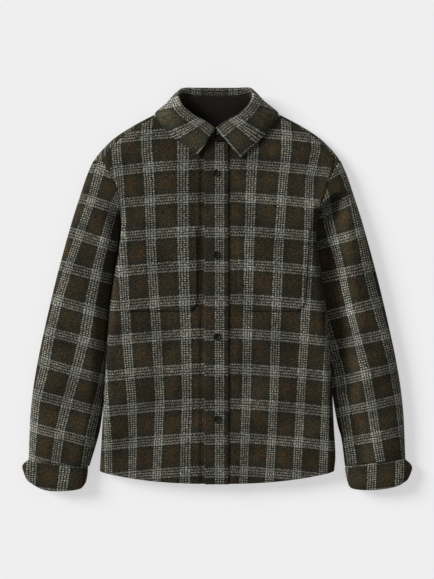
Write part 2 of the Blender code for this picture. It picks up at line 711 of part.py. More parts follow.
def button(index, x, y):
    """A turned button with a raised rim, sewn on the placket."""
    plan = np.array([[x, y]])
    seat = body_top(plan, "left")[0][0, 2] + 2 * SEAM_GAP + 0.1 + CLOTH
    radius = BUTTON_RADIUS
    profile = (
        (0.0, seat + BUTTON_THICK - 1.0),
        (radius - 2.6, seat + BUTTON_THICK - 1.0),
        (radius - BUTTON_RIM - 0.4, seat + BUTTON_THICK - 0.1),
        (radius - 0.8, seat + BUTTON_THICK),
        (radius, seat + BUTTON_THICK - 0.8),
        (radius - 0.3, seat + 0.7),
        (radius - 2.0, seat),
        (0.0, seat),
    )
    shape = bmesh.new()
    points = [shape.verts.new((r * MM, 0.0, z * MM)) for r, z in profile]
    for start, end in zip(points, points[1:]):
        shape.edges.new((start, end))
    mesh = bpy.data.meshes.new("button")
    shape.to_mesh(mesh)
    shape.free()
    made = new_object(f"button_{index}", mesh, HORN)
    made.location = (x * MM, y * MM, 0.0)
    turned = made.modifiers.new("Turned", "SCREW")
    turned.steps = 16
    turned.render_steps = 16
    turned.use_merge_vertices = True
    turned.merge_threshold = 0.00005
    return made


# Collar and neck


def collar_rows(side, stops):
    """Roll, neck seam and free edge, smoothed along one side from the back's centre to the front."""
    table = np.array(COLLAR[side])
    return smooth_line(table, stops)


def collar_line(steps):
    """Rows all round, from the right leaf's front edge over the back to the left leaf's.

    Each row has the tip of the roll, the neck seam, the free edge, the way from the tip into the roll,
    and the way across it from the stand to the fall.
    """
    right = collar_rows("right", even(steps))[::-1]
    left = collar_rows("left", even(steps))
    rows = np.vstack([right, left[1:]])
    roll, seam, edge = rows[:, :3], rows[:, 3:6], rows[:, 6:]
    along = unit(np.gradient(roll, axis=0))
    to_seam, to_edge = (
        unit(way - (way * along).sum(-1, keepdims=True) * along) for way in (seam - roll, edge - roll)
    )
    return roll, seam, edge, unit(to_seam + to_edge), unit(to_edge - to_seam)


def collar():
    """The collar: a strip inside the neck, the roll, and the fall with its two leaves."""
    roll, seam, edge, into, over = collar_line(COLLAR_STEPS)
    lines = []
    for turn in (-90, -55, 0, 55, 90):
        angle = np.radians(turn)
        lines.append(roll + ROLL_RADIUS * ((1 - np.cos(angle)) * into + np.sin(angle) * over))
    inside, outside = lines[0], lines[-1]
    lines.insert(0, inside + STRIP * unit(seam - inside))
    along = unit(np.gradient(roll, axis=0))
    proud = unit(np.cross(edge - outside, along))
    proud *= np.sign((proud * over).sum(-1, keepdims=True))
    for share in (0.2, 0.4, 0.6, 0.8, 1.0):
        lines.append(outside + share * (edge - outside) + FALL_BULGE * 4 * share * (1 - share) * proud)
    return shell("collar", np.stack(lines, 1)[:, ::-1], COLLAR_CLOTH, PLAID)


def stand_surface(depth, lift, steps):
    """The stand's wall, depth behind its inner face, from lift above the neck seam to the collar's strip."""
    roll, seam, _, into, over = collar_line(COLLAR_STEPS)
    inside = roll + ROLL_RADIUS * (into - over)
    way = unit(seam - inside)
    top = inside + (STRIP + 2 * SEAM_GAP) * way
    base = seam - lift * way
    surface = np.stack([base + share * (top - base) for share in even(steps)], 1)
    along, up = np.gradient(surface, axis=(0, 1))
    normals = unit(np.cross(up, along))
    normals *= -np.sign((normals * over[:, None]).sum(-1, keepdims=True))
    return surface - depth * normals, normals


def collar_stand():
    """The stand between the neck seam and the collar, its outer cloth."""
    surface, normals = stand_surface(LINING_CLOTH + 2 * SEAM_GAP, 2.5, 3)
    return panel("collar_stand", surface, normals, STAND_CLOTH, PLAID)


def stand_lining():
    """The brown cloth on the inside of the stand."""
    surface, normals = stand_surface(0.0, 2.5, 3)
    return panel("stand_lining", surface, normals, LINING_CLOTH, BROWN)


def neck_facing():
    """The brown half-moon inside the back neck."""
    x = FACING_HALF * np.linspace(-1.0, 1.0, 13)
    neck = np.interp(np.abs(x), column(NECK_BACK, 0), column(NECK_BACK, 1)) - 2.0
    low = neck[6] - FACING_DEPTH * np.sqrt(1 - (x / FACING_HALF) ** 2) * 0.94 - 4.0
    share = even(4)
    y = neck[None] + share[:, None] * (np.minimum(low, neck - 6.0) - neck)[None]
    z = np.full(y.shape, CLOTH + SEAM_GAP + LINING_CLOTH)
    points = np.stack([np.repeat(x[None], len(share), 0), y, z], -1)
    normals = np.zeros(points.shape)
    normals[..., 2] = 1.0
    return panel("neck_facing", points, normals, LINING_CLOTH, BROWN)


def main():
    for old in list(bpy.data.objects):
        bpy.data.objects.remove(old)
    group = bpy.data.collections.new("shacket")
    bpy.context.scene.collection.children.link(group)
    back()
    for side in SIGN:
        front(side)
        sleeve(side)
        cuff(side)
        pocket(side)
    placket()
    collar()
    collar_stand()
    stand_lining()
    neck_facing()
    for index, (x, y) in enumerate(BUTTONS, 1):
        button(index, x, y)


main()
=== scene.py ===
import bmesh
import bpy
import numpy as np
from mathutils import Matrix


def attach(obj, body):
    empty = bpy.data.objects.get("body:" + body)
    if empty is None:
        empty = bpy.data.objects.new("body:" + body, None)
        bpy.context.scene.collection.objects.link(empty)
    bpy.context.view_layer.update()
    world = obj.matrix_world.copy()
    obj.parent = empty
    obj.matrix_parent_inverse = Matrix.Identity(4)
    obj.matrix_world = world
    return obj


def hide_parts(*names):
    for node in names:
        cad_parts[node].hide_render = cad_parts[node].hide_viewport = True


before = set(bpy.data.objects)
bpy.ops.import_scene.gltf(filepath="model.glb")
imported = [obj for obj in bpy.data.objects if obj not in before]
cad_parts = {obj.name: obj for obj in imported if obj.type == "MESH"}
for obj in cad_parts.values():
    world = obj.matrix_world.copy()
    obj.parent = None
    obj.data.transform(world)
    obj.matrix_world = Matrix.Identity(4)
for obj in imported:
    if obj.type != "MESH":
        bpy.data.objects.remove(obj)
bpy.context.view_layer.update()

# The plaid shacket laid on a pale table, seen from straight above.
# Working sizes are millimetres; meshes are made in metres. Right and left are the wearer's.
mm = 0.001
sign = {"right": -1.0, "left": 1.0}


# lines, tables and sheets of points

def column(table, index):
    return np.array([row[index] for row in table], float)


def valueAt(table, where, index=1):
    order = np.argsort(column(table, 0))
    return np.interp(where, column(table, 0)[order], column(table, index)[order])


def smoothLine(points, stops, fine=14):
    # points at the given shares of a smooth curve's length
    given = np.array(points, float)
    ends = np.vstack([2 * given[0] - given[1], given, 2 * given[-1] - given[-2]])
    share = np.linspace(0.0, 1.0, fine, endpoint=False)[:, None]
    runs = []
    for before, start, end, after in zip(ends, ends[1:], ends[2:], ends[3:]):
        bend = 2 * before - 5 * start + 4 * end - after
        twist = 3 * (start - end) + after - before
        runs.append(start + 0.5 * share * (end - before + share * (bend + share * twist)))
    curve = np.vstack([*runs, given[-1:]])
    length = np.concatenate([[0.0], np.cumsum(np.linalg.norm(np.diff(curve, axis=0), axis=1))])
    wanted = np.asarray(stops, float) * length[-1]
    return np.stack([np.interp(wanted, length, curve[:, axis]) for axis in range(curve.shape[1])], -1)


def even(count):
    return np.linspace(0.0, 1.0, count + 1)


def softStep(share):
    held = np.clip(share, 0.0, 1.0)
    return held * held * (3 - 2 * held)


def unit(vectors):
    return vectors / np.maximum(np.linalg.norm(vectors, axis=-1, keepdims=True), 1e-9)


def across(line):
    run = unit(np.gradient(np.asarray(line, float), axis=0))
    return np.stack([-run[:, 1], run[:, 0]], -1)


def edgeStops(length, pitch, near=(0.45, 1.1, 2.0)):
    # shares of a length, evenly pitched, with extra lines close to both edges
    near = np.array(near) / length
    middle = np.linspace(near[-1], 1 - near[-1], max(2, int(length / pitch)))
    return np.concatenate([[0.0], near[:-1], middle, 1 - near[-2::-1], [1.0]])


def patch(top, bottom, first, last, columns, rows):
    # points filled in between four border lines
    a = columns[None, :, None]
    b = rows[:, None, None]
    between = (1 - b) * top[None] + b * bottom[None] + (1 - a) * first[:, None] + a * last[:, None]
    corners = (1 - a) * ((1 - b) * top[0] + b * first[-1]) + a * ((1 - b) * top[-1] + b * last[-1])
    return between - corners


def runLength(points, axis):
    # length along rows or columns, from the first point on
    steps = np.linalg.norm(np.diff(points, axis=axis), axis=-1)
    start = np.zeros(np.take(steps, [0], axis=axis).shape)
    return np.concatenate([start, np.cumsum(steps, axis=axis)], axis=axis)


# the garment's outline, as in the cut

outline = {
    "shoulderFold": (
        (80.5, 358.5), (119.0, 342.7), (163.8, 319.3), (199.8, 295.9), (224.2, 272.5), (241.3, 251.5),
    ),
    "sleeveFold": (
        (241.3, 251.5), (254.0, 222.0), (266.7, 184.0), (286.6, 120.4),
        (317.8, 3.4), (349.1, -137.0), (362.7, -230.6), (367.6, -329.0),
    ),
    "bodySide": (  # y, x on the right, x on the left
        (151.6, 190.0, 200.8), (116.5, 188.6, 196.0), (77.5, 193.0, 197.9), (38.5, 199.9, 203.8),
        (-29.7, 209.6, 213.5), (-98.0, 215.5, 220.3), (-185.7, 220.3, 225.4), (-263.7, 224.2, 228.7),
        (-322.0, 227.2, 231.7), (-354.0, 229.0, 229.0),
    ),
    "sleeveInnerEnd": ((-258.0, 226.0, 234.4), (-292.0, 233.0, 243.0), (-344.0, 248.6, 249.6)),
    "armholeFront": (  # x, y on the right, then on the left
        (222.3, 249.1, 237.0, 247.0), (212.5, 233.5, 228.2, 231.6), (201.6, 212.1, 218.4, 210.1),
        (194.0, 191.0, 212.0, 188.7), (191.0, 170.0, 205.7, 169.2), (190.0, 151.6, 200.8, 151.6),
    ),
    "armholeBack": (
        (241.3, 251.5, 241.3, 251.5), (221.0, 236.0, 226.0, 234.0), (205.0, 208.0, 212.0, 206.0),
        (194.0, 178.0, 204.0, 178.0), (190.0, 151.6, 200.8, 151.6),
    ),
    "shoulderSeam": {"right": (-1.9, -4.6, -19.0, -2.4), "left": (-1.9, -3.8, -4.3, -4.5)},
    "neckFront": (
        (0.0, 286.3), (20.0, 288.5), (36.0, 294.0), (52.0, 303.0), (66.0, 314.5), (77.0, 332.0),
    ),
    "neckBack": ((0.0, 341.7), (21.0, 342.1), (42.0, 344.3), (62.0, 350.0), (80.5, 358.5)),
}
cloth = {
    "thick": 2.2,
    "collarThick": 2.4,
    "standThick": 1.3,
    "liningThick": 1.1,
    "seamGap": 0.3,
    "tuck": 2.2,  # how far the sleeve's inner fold lies under the body's side
    "tuckShares": (0.6, 0.95, 1.0, 1.0, 1.0, 1.0, 1.0),  # from the armhole down
    "pitch": 3.0,  # of the mesh
}
lay = {  # heights of the laid garment above the table
    "bodyNose": 11.0,
    "sleeveNose": 13.0,
    "innerNose": (  # share from the armhole on, height
        (0.0, 9.0), (0.05, 4.0), (0.09, 3.5), (0.66, 3.4), (0.84, 8.0), (1.0, 13.0),
    ),
    "noseRadius": 17.0,
    "shoulderRadius": 40.0,
    "sleeveRadius": {"right": 48.0, "left": 64.0},
    "sleeveInnerRadius": {"right": 32.0, "left": 66.0},
    "sleeveHollow": {"right": 0.15, "left": 0.95},
    "lowShare": 0.45,  # of the way to its full height over which a hollow side stays down
    "underRadius": 12.0,
    "bodyHeight": (
        (345.0, 27.0), (240.0, 30.0), (130.0, 35.0), (-60.0, 36.0), (-250.0, 33.0), (-380.0, 27.0),
    ),
    "sleeveHeight": ((0.0, 32.0), (0.25, 38.0), (0.6, 37.0), (1.0, 31.0)),
}
hem = {"low": -378.0, "rise": 24.0, "power": 2.5, "half": 229.0}

# soft troughs (depth above 0) and ridges (below 0): start x, y, end x, y, half width, depth
mainTroughs = (
    (-176.0, 262.0, -180.0, 172.0, 15.0, 3.6),
    (196.0, 258.0, 189.0, 168.0, 14.0, 3.2),
    (-96.0, -60.0, -118.0, -300.0, 20.0, 2.2),
    (-34.0, -120.0, -52.0, -330.0, 12.0, 1.6),
    (60.0, -70.0, 74.0, -330.0, 16.0, 2.0),
    (148.0, -60.0, 160.0, -310.0, 18.0, 2.2),
    (-262.0, 120.0, -222.0, 96.0, 13.0, 3.0),
    (-300.0, -20.0, -238.0, -48.0, 12.0, 3.4),
    (-330.0, -190.0, -262.0, -232.0, 11.0, 2.4),
    (268.0, 124.0, 226.0, 92.0, 13.0, 3.0),
    (306.0, -24.0, 246.0, -56.0, 12.0, 3.2),
    (338.0, -176.0, 268.0, -214.0, 11.0, 2.6),
)
fineCreases = (
    (-120.0, 285.0, -150.0, 215.0, 9.0, 0.8),
    (-70.0, 262.0, -62.0, 180.0, 11.0, 0.6),
    (96.0, 278.0, 118.0, 205.0, 10.0, 0.7),
    (150.0, 268.0, 158.0, 196.0, 8.0, 0.9),
    (-188.0, 140.0, -150.0, 108.0, 7.0, 1.1),
    (-190.0, 96.0, -158.0, 84.0, 6.0, 0.8),
    (194.0, 140.0, 160.0, 112.0, 7.0, 1.0),
    (198.0, 92.0, 170.0, 84.0, 6.0, 0.7),
    (-150.0, 20.0, -146.0, -30.0, 8.0, 0.5),
    (-206.0, -100.0, -186.0, -210.0, 9.0, 1.0),
    (-70.0, -180.0, -78.0, -340.0, 8.0, 0.8),
    (-140.0, -150.0, -152.0, -330.0, 10.0, -0.7),
    (-188.0, -230.0, -182.0, -350.0, 8.0, 0.9),
    (34.0, -190.0, 40.0, -330.0, 8.0, 0.6),
    (108.0, -90.0, 116.0, -300.0, 11.0, -0.7),
    (120.0, -230.0, 118.0, -352.0, 8.0, 0.8),
    (200.0, -120.0, 192.0, -260.0, 9.0, 0.9),
    (-238.0, 214.0, -250.0, 160.0, 8.0, 1.2),
    (-232.0, 76.0, -272.0, 92.0, 8.0, 1.4),
    (-226.0, 40.0, -288.0, 36.0, 9.0, 1.0),
    (-246.0, -6.0, -306.0, 30.0, 7.0, -0.9),
    (-240.0, -84.0, -320.0, -66.0, 10.0, 1.5),
    (-252.0, -130.0, -334.0, -118.0, 9.0, 1.1),
    (-262.0, -176.0, -318.0, -150.0, 7.0, -0.8),
    (-256.0, -262.0, -344.0, -244.0, 9.0, 1.2),
    (-268.0, -306.0, -350.0, -296.0, 8.0, 1.0),
    (244.0, 212.0, 254.0, 150.0, 8.0, 1.1),
    (232.0, 66.0, 280.0, 84.0, 8.0, 1.3),
    (232.0, 20.0, 296.0, 34.0, 9.0, 1.2),
    (246.0, -20.0, 312.0, 6.0, 7.0, -0.9),
    (244.0, -92.0, 328.0, -80.0, 10.0, 1.6),
    (254.0, -134.0, 336.0, -112.0, 8.0, 1.0),
    (268.0, -168.0, 322.0, -148.0, 7.0, -0.7),
    (258.0, -250.0, 350.0, -246.0, 9.0, 1.3),
    (266.0, -304.0, 352.0, -290.0, 8.0, 0.9),
)


def mirrored(points, side):
    return np.array(points, float) * (sign[side], 1.0)


def sidePoints(table, side):
    first = 0 if side == "right" else 2
    return np.stack([sign[side] * column(table, first), column(table, first + 1)], -1)


def bodySide(side, stops):
    index = 1 if side == "right" else 2
    table = outline["bodySide"]
    return smoothLine(np.stack([sign[side] * column(table, index), column(table, 0)], -1), stops)


def sleeveInner(side, stops):
    # the sleeve's inner fold: beside the body, then turning away to the cuff
    index = 1 if side == "right" else 2
    table, end = outline["bodySide"], outline["sleeveInnerEnd"]
    shares = np.array(cloth["tuckShares"])
    x = column(table, index)[: len(shares)] - cloth["tuck"] * shares
    beside = np.stack([sign[side] * x, column(table, 0)[: len(shares)]], -1)
    away = np.stack([sign[side] * column(end, index), column(end, 0)], -1)
    return smoothLine(np.vstack([beside, away]), stops)


def outerFold(side):
    shoulder = smoothLine(mirrored(outline["shoulderFold"], side), even(24))
    sleeve = smoothLine(mirrored(outline["sleeveFold"], side), even(40))
    return np.vstack([shoulder, sleeve[1:]])


def hemY(x):
    return hem["low"] + hem["rise"] * np.minimum(np.abs(x) / hem["half"], 1.0) ** hem["power"]


def distanceFrom(line, inward, plan):
    # distance to a fold line in plan, and the way that leads from it into the cloth
    flat = plan.reshape(-1, 2)
    start = line[:-1]
    run = line[1:] - start
    square = unit(np.stack([-run[:, 1], run[:, 0]], -1))
    square *= np.sign((square * inward).sum(-1, keepdims=True))
    toPoint = flat[:, None, :] - start
    share = np.clip((toPoint * run).sum(-1) / (run * run).sum(-1), 0.0, 1.0)
    gap = toPoint - share[..., None] * run
    far = np.linalg.norm(gap, axis=-1)
    nearest = far.argmin(-1)
    rows = np.arange(len(flat))
    distance = far[rows, nearest]
    away = np.where(distance[:, None] > 0.2, unit(gap[rows, nearest]), square[nearest])
    return distance.reshape(plan.shape[:-1]), away.reshape(plan.shape)


def creases(plan, table):
    # how far troughs lower the cloth, with a slight shoulder on both sides of each
    drop = np.zeros(plan.shape[:-1])
    for x0, y0, x1, y1, half, depth in table:
        start = np.array([x0, y0])
        run = np.array([x1, y1]) - start
        share = ((plan - start) @ run) / (run @ run)
        side = np.linalg.norm(plan - start - share[..., None] * run, axis=-1) / half
        ends = softStep((share + 0.15) / 0.4) * softStep((1.15 - share) / 0.4)
        drop += depth * ends * np.exp(-(side**2)) * (1 - 0.3 * side**2 * (abs(depth) < 2))
    return drop


def waver(plan):
    # the slow unevenness of thick cloth
    x, y = plan[..., 0], plan[..., 1]
    slow = np.sin(x / 23.0 + 1.3 * np.sin(y / 61.0)) * np.sin(y / 37.0 + 0.8 * np.sin(x / 47.0) + 1.1)
    quick = np.sin(x / 9.7 + y / 17.0 + 0.5) * np.sin(y / 12.3 - x / 31.0)
    return 0.32 * slow + 0.1 * quick


def liftFrom(folds, plan, reach):
    share = np.ones(plan.shape[:-1])
    slope = np.zeros(plan.shape)
    for line, inward, radius, hollow in folds:
        # hollow says how late the cloth starts to rise: 0 like a tube, 1 lying low beside its neighbour
        far = radius if reach is None else reach
        hollow = hollow if reach is None else 0.0
        distance, away = distanceFrom(line, inward, plan)
        part = np.clip(distance, 0.02, far) / far
        tube = np.sqrt(1 - (1 - part) ** 2)
        low = lay["lowShare"] * hollow
        late = np.clip((part - low) / (1 - low), 0.0, 1.0)
        rise = np.maximum((1 - hollow) * tube + hollow * softStep(late), 0.02)
        steep = (1 - hollow) * (1 - part) / tube + hollow * 6 * late * (1 - late) / (1 - low)
        slope = slope * rise[..., None] + (share * steep / far)[..., None] * away
        share = share * rise
    return share, slope


def upperSheet(plan, folds, height, nose):
    share, slope = liftFrom(folds, plan, None)
    drop = creases(plan, mainTroughs) + creases(plan, fineCreases) + waver(plan)
    z = nose + (height - nose) * share - drop * share**2
    flat = slope * (height - nose)[..., None]
    normal = np.concatenate([-flat, np.where(share < 0.08, 0.0, 1.0)[..., None]], -1)
    return np.concatenate([plan, z[..., None]], -1), unit(normal)


def lowerSheet(plan, folds, nose):
    share, slope = liftFrom(folds, plan, lay["underRadius"])
    z = nose * (1 - share)
    flat = slope * nose[..., None]
    normal = np.concatenate([-flat, np.where(share < 0.12, 0.0, -1.0)[..., None]], -1)
    return np.concatenate([plan, z[..., None]], -1), unit(normal)


def bodyFolds(side):
    return (
        (bodySide(side, even(40)), np.array([-sign[side], 0.0]), lay["noseRadius"], 0.0),
        (outerFold(side), np.array([-sign[side], -0.6]), lay["shoulderRadius"], 0.0),
    )


def bodyTop(plan, side):
    height = valueAt(lay["bodyHeight"], plan[..., 1])
    return upperSheet(plan, bodyFolds(side), height, np.full(height.shape, lay["bodyNose"]))


def bodyBottom(plan, side):
    return lowerSheet(plan, bodyFolds(side), np.full(plan.shape[:-1], lay["bodyNose"]))


# where the check lies: stripes are counted outwards from the centre, bands downwards

check = {
    "wide": 56.0,  # one repeat across, in cloth
    "tall": 66.0,
    "bands": (
        372.0, 307.6, 244.2, 179.9, 114.6, 48.3, -18.0, -84.3, -152.6, -220.8, -287.1, -351.5, -417.8,
    ),
    "bandDip": 13.65,  # how far a band has dropped at dipAt from the centre
    "dipAt": 195.0,
    "dipPower": 1.6,
    "bodyStripes": {  # y, then the stripes' x from the centre outwards
        "right": (
            (272.5, -5.8, 66.3, 138.4, 196.9, 255.4),
            (214.0, -3.9, 67.3, 132.6, 191.1, 247.7),
            (77.5, -2.9, 66.3, 127.7, 183.3, 237.9),
            (-98.0, -3.9, 61.4, 117.0, 175.5, 230.1),
            (-215.0, -5.8, 59.5, 111.1, 165.8, 220.3),
            (-293.0, -5.8, 62.4, 115.0, 163.8, 212.5),
            (-378.8, -5.8, 64.3, 119.0, 165.8, 210.6),
        ),
        "left": (
            (272.5, 5.8, 70.2, 135.9, 193.0, 247.7),
            (214.0, 5.8, 66.3, 129.7, 179.4, 232.0),
            (77.5, 3.9, 62.4, 119.0, 177.4, 232.0),
            (-98.0, 3.9, 58.5, 113.1, 169.7, 216.4),
            (-215.0, 3.9, 57.1, 110.2, 162.8, 211.6),
            (-378.8, 5.8, 50.7, 101.4, 154.0, 204.8),
        ),
    },
    "sleeveStripes": {
        "right": (
            (292.0, 89.7, 152.1, 214.5, 276.9, 339.3),
            (223.8, 107.2, 169.7, 230.1, 292.5, 352.9),
            (165.3, 136.5, 198.9, 245.7, 306.1, 366.6),
            (106.8, 152.9, 215.3, 266.2, 325.6, 384.1),
            (48.3, 167.7, 230.1, 287.6, 345.1, 403.6),
            (-20.0, 181.7, 244.1, 310.1, 368.6, 427.1),
            (-90.2, 193.0, 255.4, 327.6, 388.1, 446.6),
            (-156.5, 210.6, 273.0, 337.3, 399.8, 458.2),
            (-215.0, 227.2, 289.6, 353.9, 415.3, 473.8),
            (-273.5, 242.8, 305.2, 358.8, 419.2, 477.8),
            (-341.7, 252.9, 315.3, 362.7, 423.1, 481.6),
        ),
        "left": (
            (243.3, 117.0, 177.4, 239.8, 300.3, 358.8),
            (194.5, 144.3, 204.8, 266.2, 325.6, 384.1),
            (141.9, 156.0, 216.4, 275.9, 335.4, 393.9),
            (87.3, 164.8, 225.2, 287.6, 347.1, 405.6),
            (24.9, 178.2, 238.7, 298.3, 358.8, 417.3),
            (-33.6, 191.1, 251.5, 312.0, 372.4, 430.9),
            (-90.2, 207.7, 268.1, 328.6, 388.1, 446.6),
            (-152.6, 226.2, 286.6, 344.2, 403.6, 462.1),
            (-215.0, 237.9, 298.3, 355.5, 415.3, 473.8),
            (-273.5, 246.7, 307.1, 362.7, 421.2, 479.7),
            (-335.9, 258.4, 318.8, 370.5, 429.0, 487.5),
        ),
    },
    "sleeveBands": {  # each band's x and y near the outer fold, then near the inner one
        "right": (
            (252.0, 368.0, 176.0, 338.0),
            (232.0, 303.7, 185.2, 280.3),
            (245.7, 239.4, 193.0, 219.9),
            (263.2, 178.9, 198.9, 157.5),
            (288.6, 112.6, 212.5, 87.3),
            (306.1, 47.3, 214.5, 22.9),
            (323.7, -18.0, 240.8, -41.4),
            (333.4, -79.5, 234.0, -105.8),
            (340.3, -139.9, 222.3, -174.0),
            (356.8, -203.3, 234.0, -234.5),
            (360.8, -266.7, 237.9, -298.8),
            (362.7, -330.0, 251.5, -359.3),
            (362.7, -394.4, 251.5, -423.6),
        ),
        "left": (
            (252.0, 314.0, 190.0, 278.0),
            (257.4, 247.2, 200.8, 212.1),
            (265.2, 178.9, 208.7, 149.7),
            (287.8, 114.6, 218.4, 92.1),
            (308.1, 47.3, 230.1, 28.8),
            (323.7, -23.3, 223.7, -49.2),
            (340.7, -84.3, 220.3, -107.7),
            (352.9, -150.1, 245.7, -176.0),
            (360.2, -211.1, 233.4, -240.3),
            (366.6, -273.5, 245.7, -298.8),
            (370.5, -337.8, 249.6, -361.2),
            (370.5, -402.2, 249.6, -425.6),
        ),
    },
}


def countLines(lines, at):
    # how many of the rising lines a place has passed, in parts, carried on past both ends
    lines = np.array(lines)
    share = (at - lines[:-1]) / np.diff(lines, axis=0)
    held = np.clip(share, 0.0, 1.0)
    held[0] = np.minimum(share[0], 1.0)
    held[-1] = np.where(share[-1] > 0, share[-1], 0.0)
    return held.sum(0)


def bodyCount(flat, side):
    # repeats across and down for places on the body
    x, y = sign[side] * flat[..., 0], flat[..., 1]
    table = check["bodyStripes"][side]
    across = countLines([valueAt(table, y, index) for index in range(1, 6)], x)
    dipped = y + check["bandDip"] * (np.abs(x) / check["dipAt"]) ** check["dipPower"]
    down = countLines([np.full(x.shape, -band) for band in check["bands"]], -dipped)
    return sign[side] * across, down


def sleeveCount(flat, side):
    x, y = sign[side] * flat[..., 0], flat[..., 1]
    table = check["sleeveStripes"][side]
    across = countLines([valueAt(table, y, index) for index in range(1, 6)], x)
    bands = [y0 + (x - x0) * (y1 - y0) / (x1 - x0) for x0, y0, x1, y1 in check["sleeveBands"][side]]
    down = countLines([-band for band in bands], -y)
    return sign[side] * across, down


def countToUv(across, down):
    return np.stack([across * check["wide"], -down * check["tall"]], -1) * mm


def stretched(points, axis, anchor):
    # how far the cloth's length beyond its plan length pushes a place on,
    # so that the check narrows on steep ground
    extra = runLength(points, axis) - runLength(points[..., :2], axis)
    extra = extra - np.take(extra, [anchor], axis=axis)
    way = unit(np.gradient(points[..., :2], axis=axis))
    return extra[..., None] * way


# meshes

edges = {"round": 1.1, "seamBulge": 0.1, "freeBulge": 0.55}


def edgeFall(points, ring):
    # how far the outer skin turns down near its own edges
    radius = edges["round"]
    down = runLength(points, 0)
    far = np.minimum(down, down[-1:] - down)
    if not ring:
        side = runLength(points, 1)
        far = np.minimum(far, np.minimum(side, side[:, -1:] - side))
    left = np.clip(radius - far, 0.0, radius)
    return radius - np.sqrt(radius**2 - left**2)


def addObject(name, data):
    made = bpy.data.objects.new(name, data)
    bpy.context.scene.collection.objects.link(made)
    return made


def finishMesh(name, points, faces, corners, uv):
    # one mesh with a UV place for every face corner
    mesh = bpy.data.meshes.new(name)
    mesh.from_pydata([tuple(point) for point in points * mm], [], faces)
    layer = mesh.uv_layers.new(name="clothUv")
    layer.data.foreach_set("uv", uv[np.concatenate(corners)].astype(np.float32).ravel())
    mesh.shade_smooth()
    mesh.validate()
    return addObject(name, mesh)


def clothMesh(name, points, normals, thick, uv, ring=False, holes=None, free=0.0):
    # an outer skin, an inner skin and the wall around every open edge
    sheets[name] = (points, normals)
    rows, cols = points.shape[:2]
    fall = edgeFall(points, ring)
    outer = points - fall[..., None] * normals
    inner = points - thick * normals
    spans = cols if ring else cols - 1
    kept = np.ones((rows - 1, spans), bool) if holes is None else ~holes
    r, c = np.nonzero(kept)
    after = (c + 1) % cols
    quads = np.stack([r * cols + c, r * cols + after, (r + 1) * cols + after, (r + 1) * cols + c], -1)
    uvCols = uv.shape[1]
    first, below = r * uvCols + c, (r + 1) * uvCols + c
    uvQuads = np.stack([first, first + 1, below + 1, below], -1)
    away = np.cross(outer[r, after] - outer[r, c], outer[r + 1, c] - outer[r, c])
    if (away * normals[r, c]).sum() < 0:
        quads, uvQuads = quads[:, ::-1], uvQuads[:, ::-1]
    count = rows * cols
    directed = {}
    for quad, uvQuad in zip(quads.tolist(), uvQuads.tolist()):
        for k in range(4):
            directed[(quad[k], quad[(k + 1) % 4])] = (uvQuad[k], uvQuad[(k + 1) % 4])
    rims = [(key, value) for key, value in directed.items() if (key[1], key[0]) not in directed]
    flatOuter, flatInner = outer.reshape(-1, 3), inner.reshape(-1, 3)
    flatNormals = normals.reshape(-1, 3)
    push = {}
    for (start, end), _ in rims:
        way = np.cross(unit(flatOuter[end] - flatOuter[start]), flatNormals[start])
        for point in (start, end):
            push.setdefault(point, []).append(way)
    middles, place = [], {}
    for point, ways in push.items():
        place[point] = 2 * count + len(middles)
        bulge = edges["seamBulge"] + free * (edges["freeBulge"] - edges["seamBulge"])
        middles.append((flatOuter[point] + flatInner[point]) / 2 + bulge * unit(np.mean(ways, 0)))
    faces = [*quads.tolist(), *(quads[:, ::-1] + count).tolist()]
    corners = [uvQuads.ravel(), uvQuads[:, ::-1].ravel()]
    for (start, end), (uvStart, uvEnd) in rims:
        faces.append([end, start, place[start], place[end]])
        faces.append([place[end], place[start], start + count, end + count])
        corners.append(np.array([uvEnd, uvStart, uvStart, uvEnd] * 2))
    whole = np.vstack([flatOuter, flatInner, np.array(middles)])
    used = np.unique(np.concatenate([np.array(face) for face in faces]))
    renumber = np.full(len(whole), -1)
    renumber[used] = np.arange(len(used))
    faces = [renumber[face].tolist() for face in faces]
    return finishMesh(name, whole[used], faces, corners, uv.reshape(-1, 2))


sheets = {}  # the outer skin's points and normals of each cloth piece


def wear(made, node, slotName, finish, flat=None, area=None):
    # gives a piece its material and its place on the garment, and hides the imported part of that name
    made.data.materials.clear()
    made.data.materials.append(finish)
    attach(made, "root")
    if node:
        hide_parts(node)
    return made


def quadArea(points):
    # area of a sheet of points, in square metres
    first = points[1:, :-1] - points[:-1, :-1]
    second = points[:-1, 1:] - points[:-1, :-1]
    return float(np.linalg.norm(np.cross(first, second), axis=-1).sum()) * mm * mm


def cutOf(points, ring):
    # width and length, then area of a sheet's cut, in metres, read off its outer skin
    whole = np.concatenate([points, points[:, :1]], 1) if ring else points
    wide = runLength(whole, 1)[:, -1].max() * mm
    long = runLength(whole, 0)[-1].max() * mm
    return (round(float(wide), 3), round(float(long), 3)), min(quadArea(whole), wide * long)


def clothPiece(name, points, normals, thick, uv, slotName, finish, ring=False, free=0.0):
    made = clothMesh(name, points, normals, thick, uv, ring=ring, free=free)
    return wear(made, name, slotName, finish, *cutOf(points, ring))


# Fronts and back

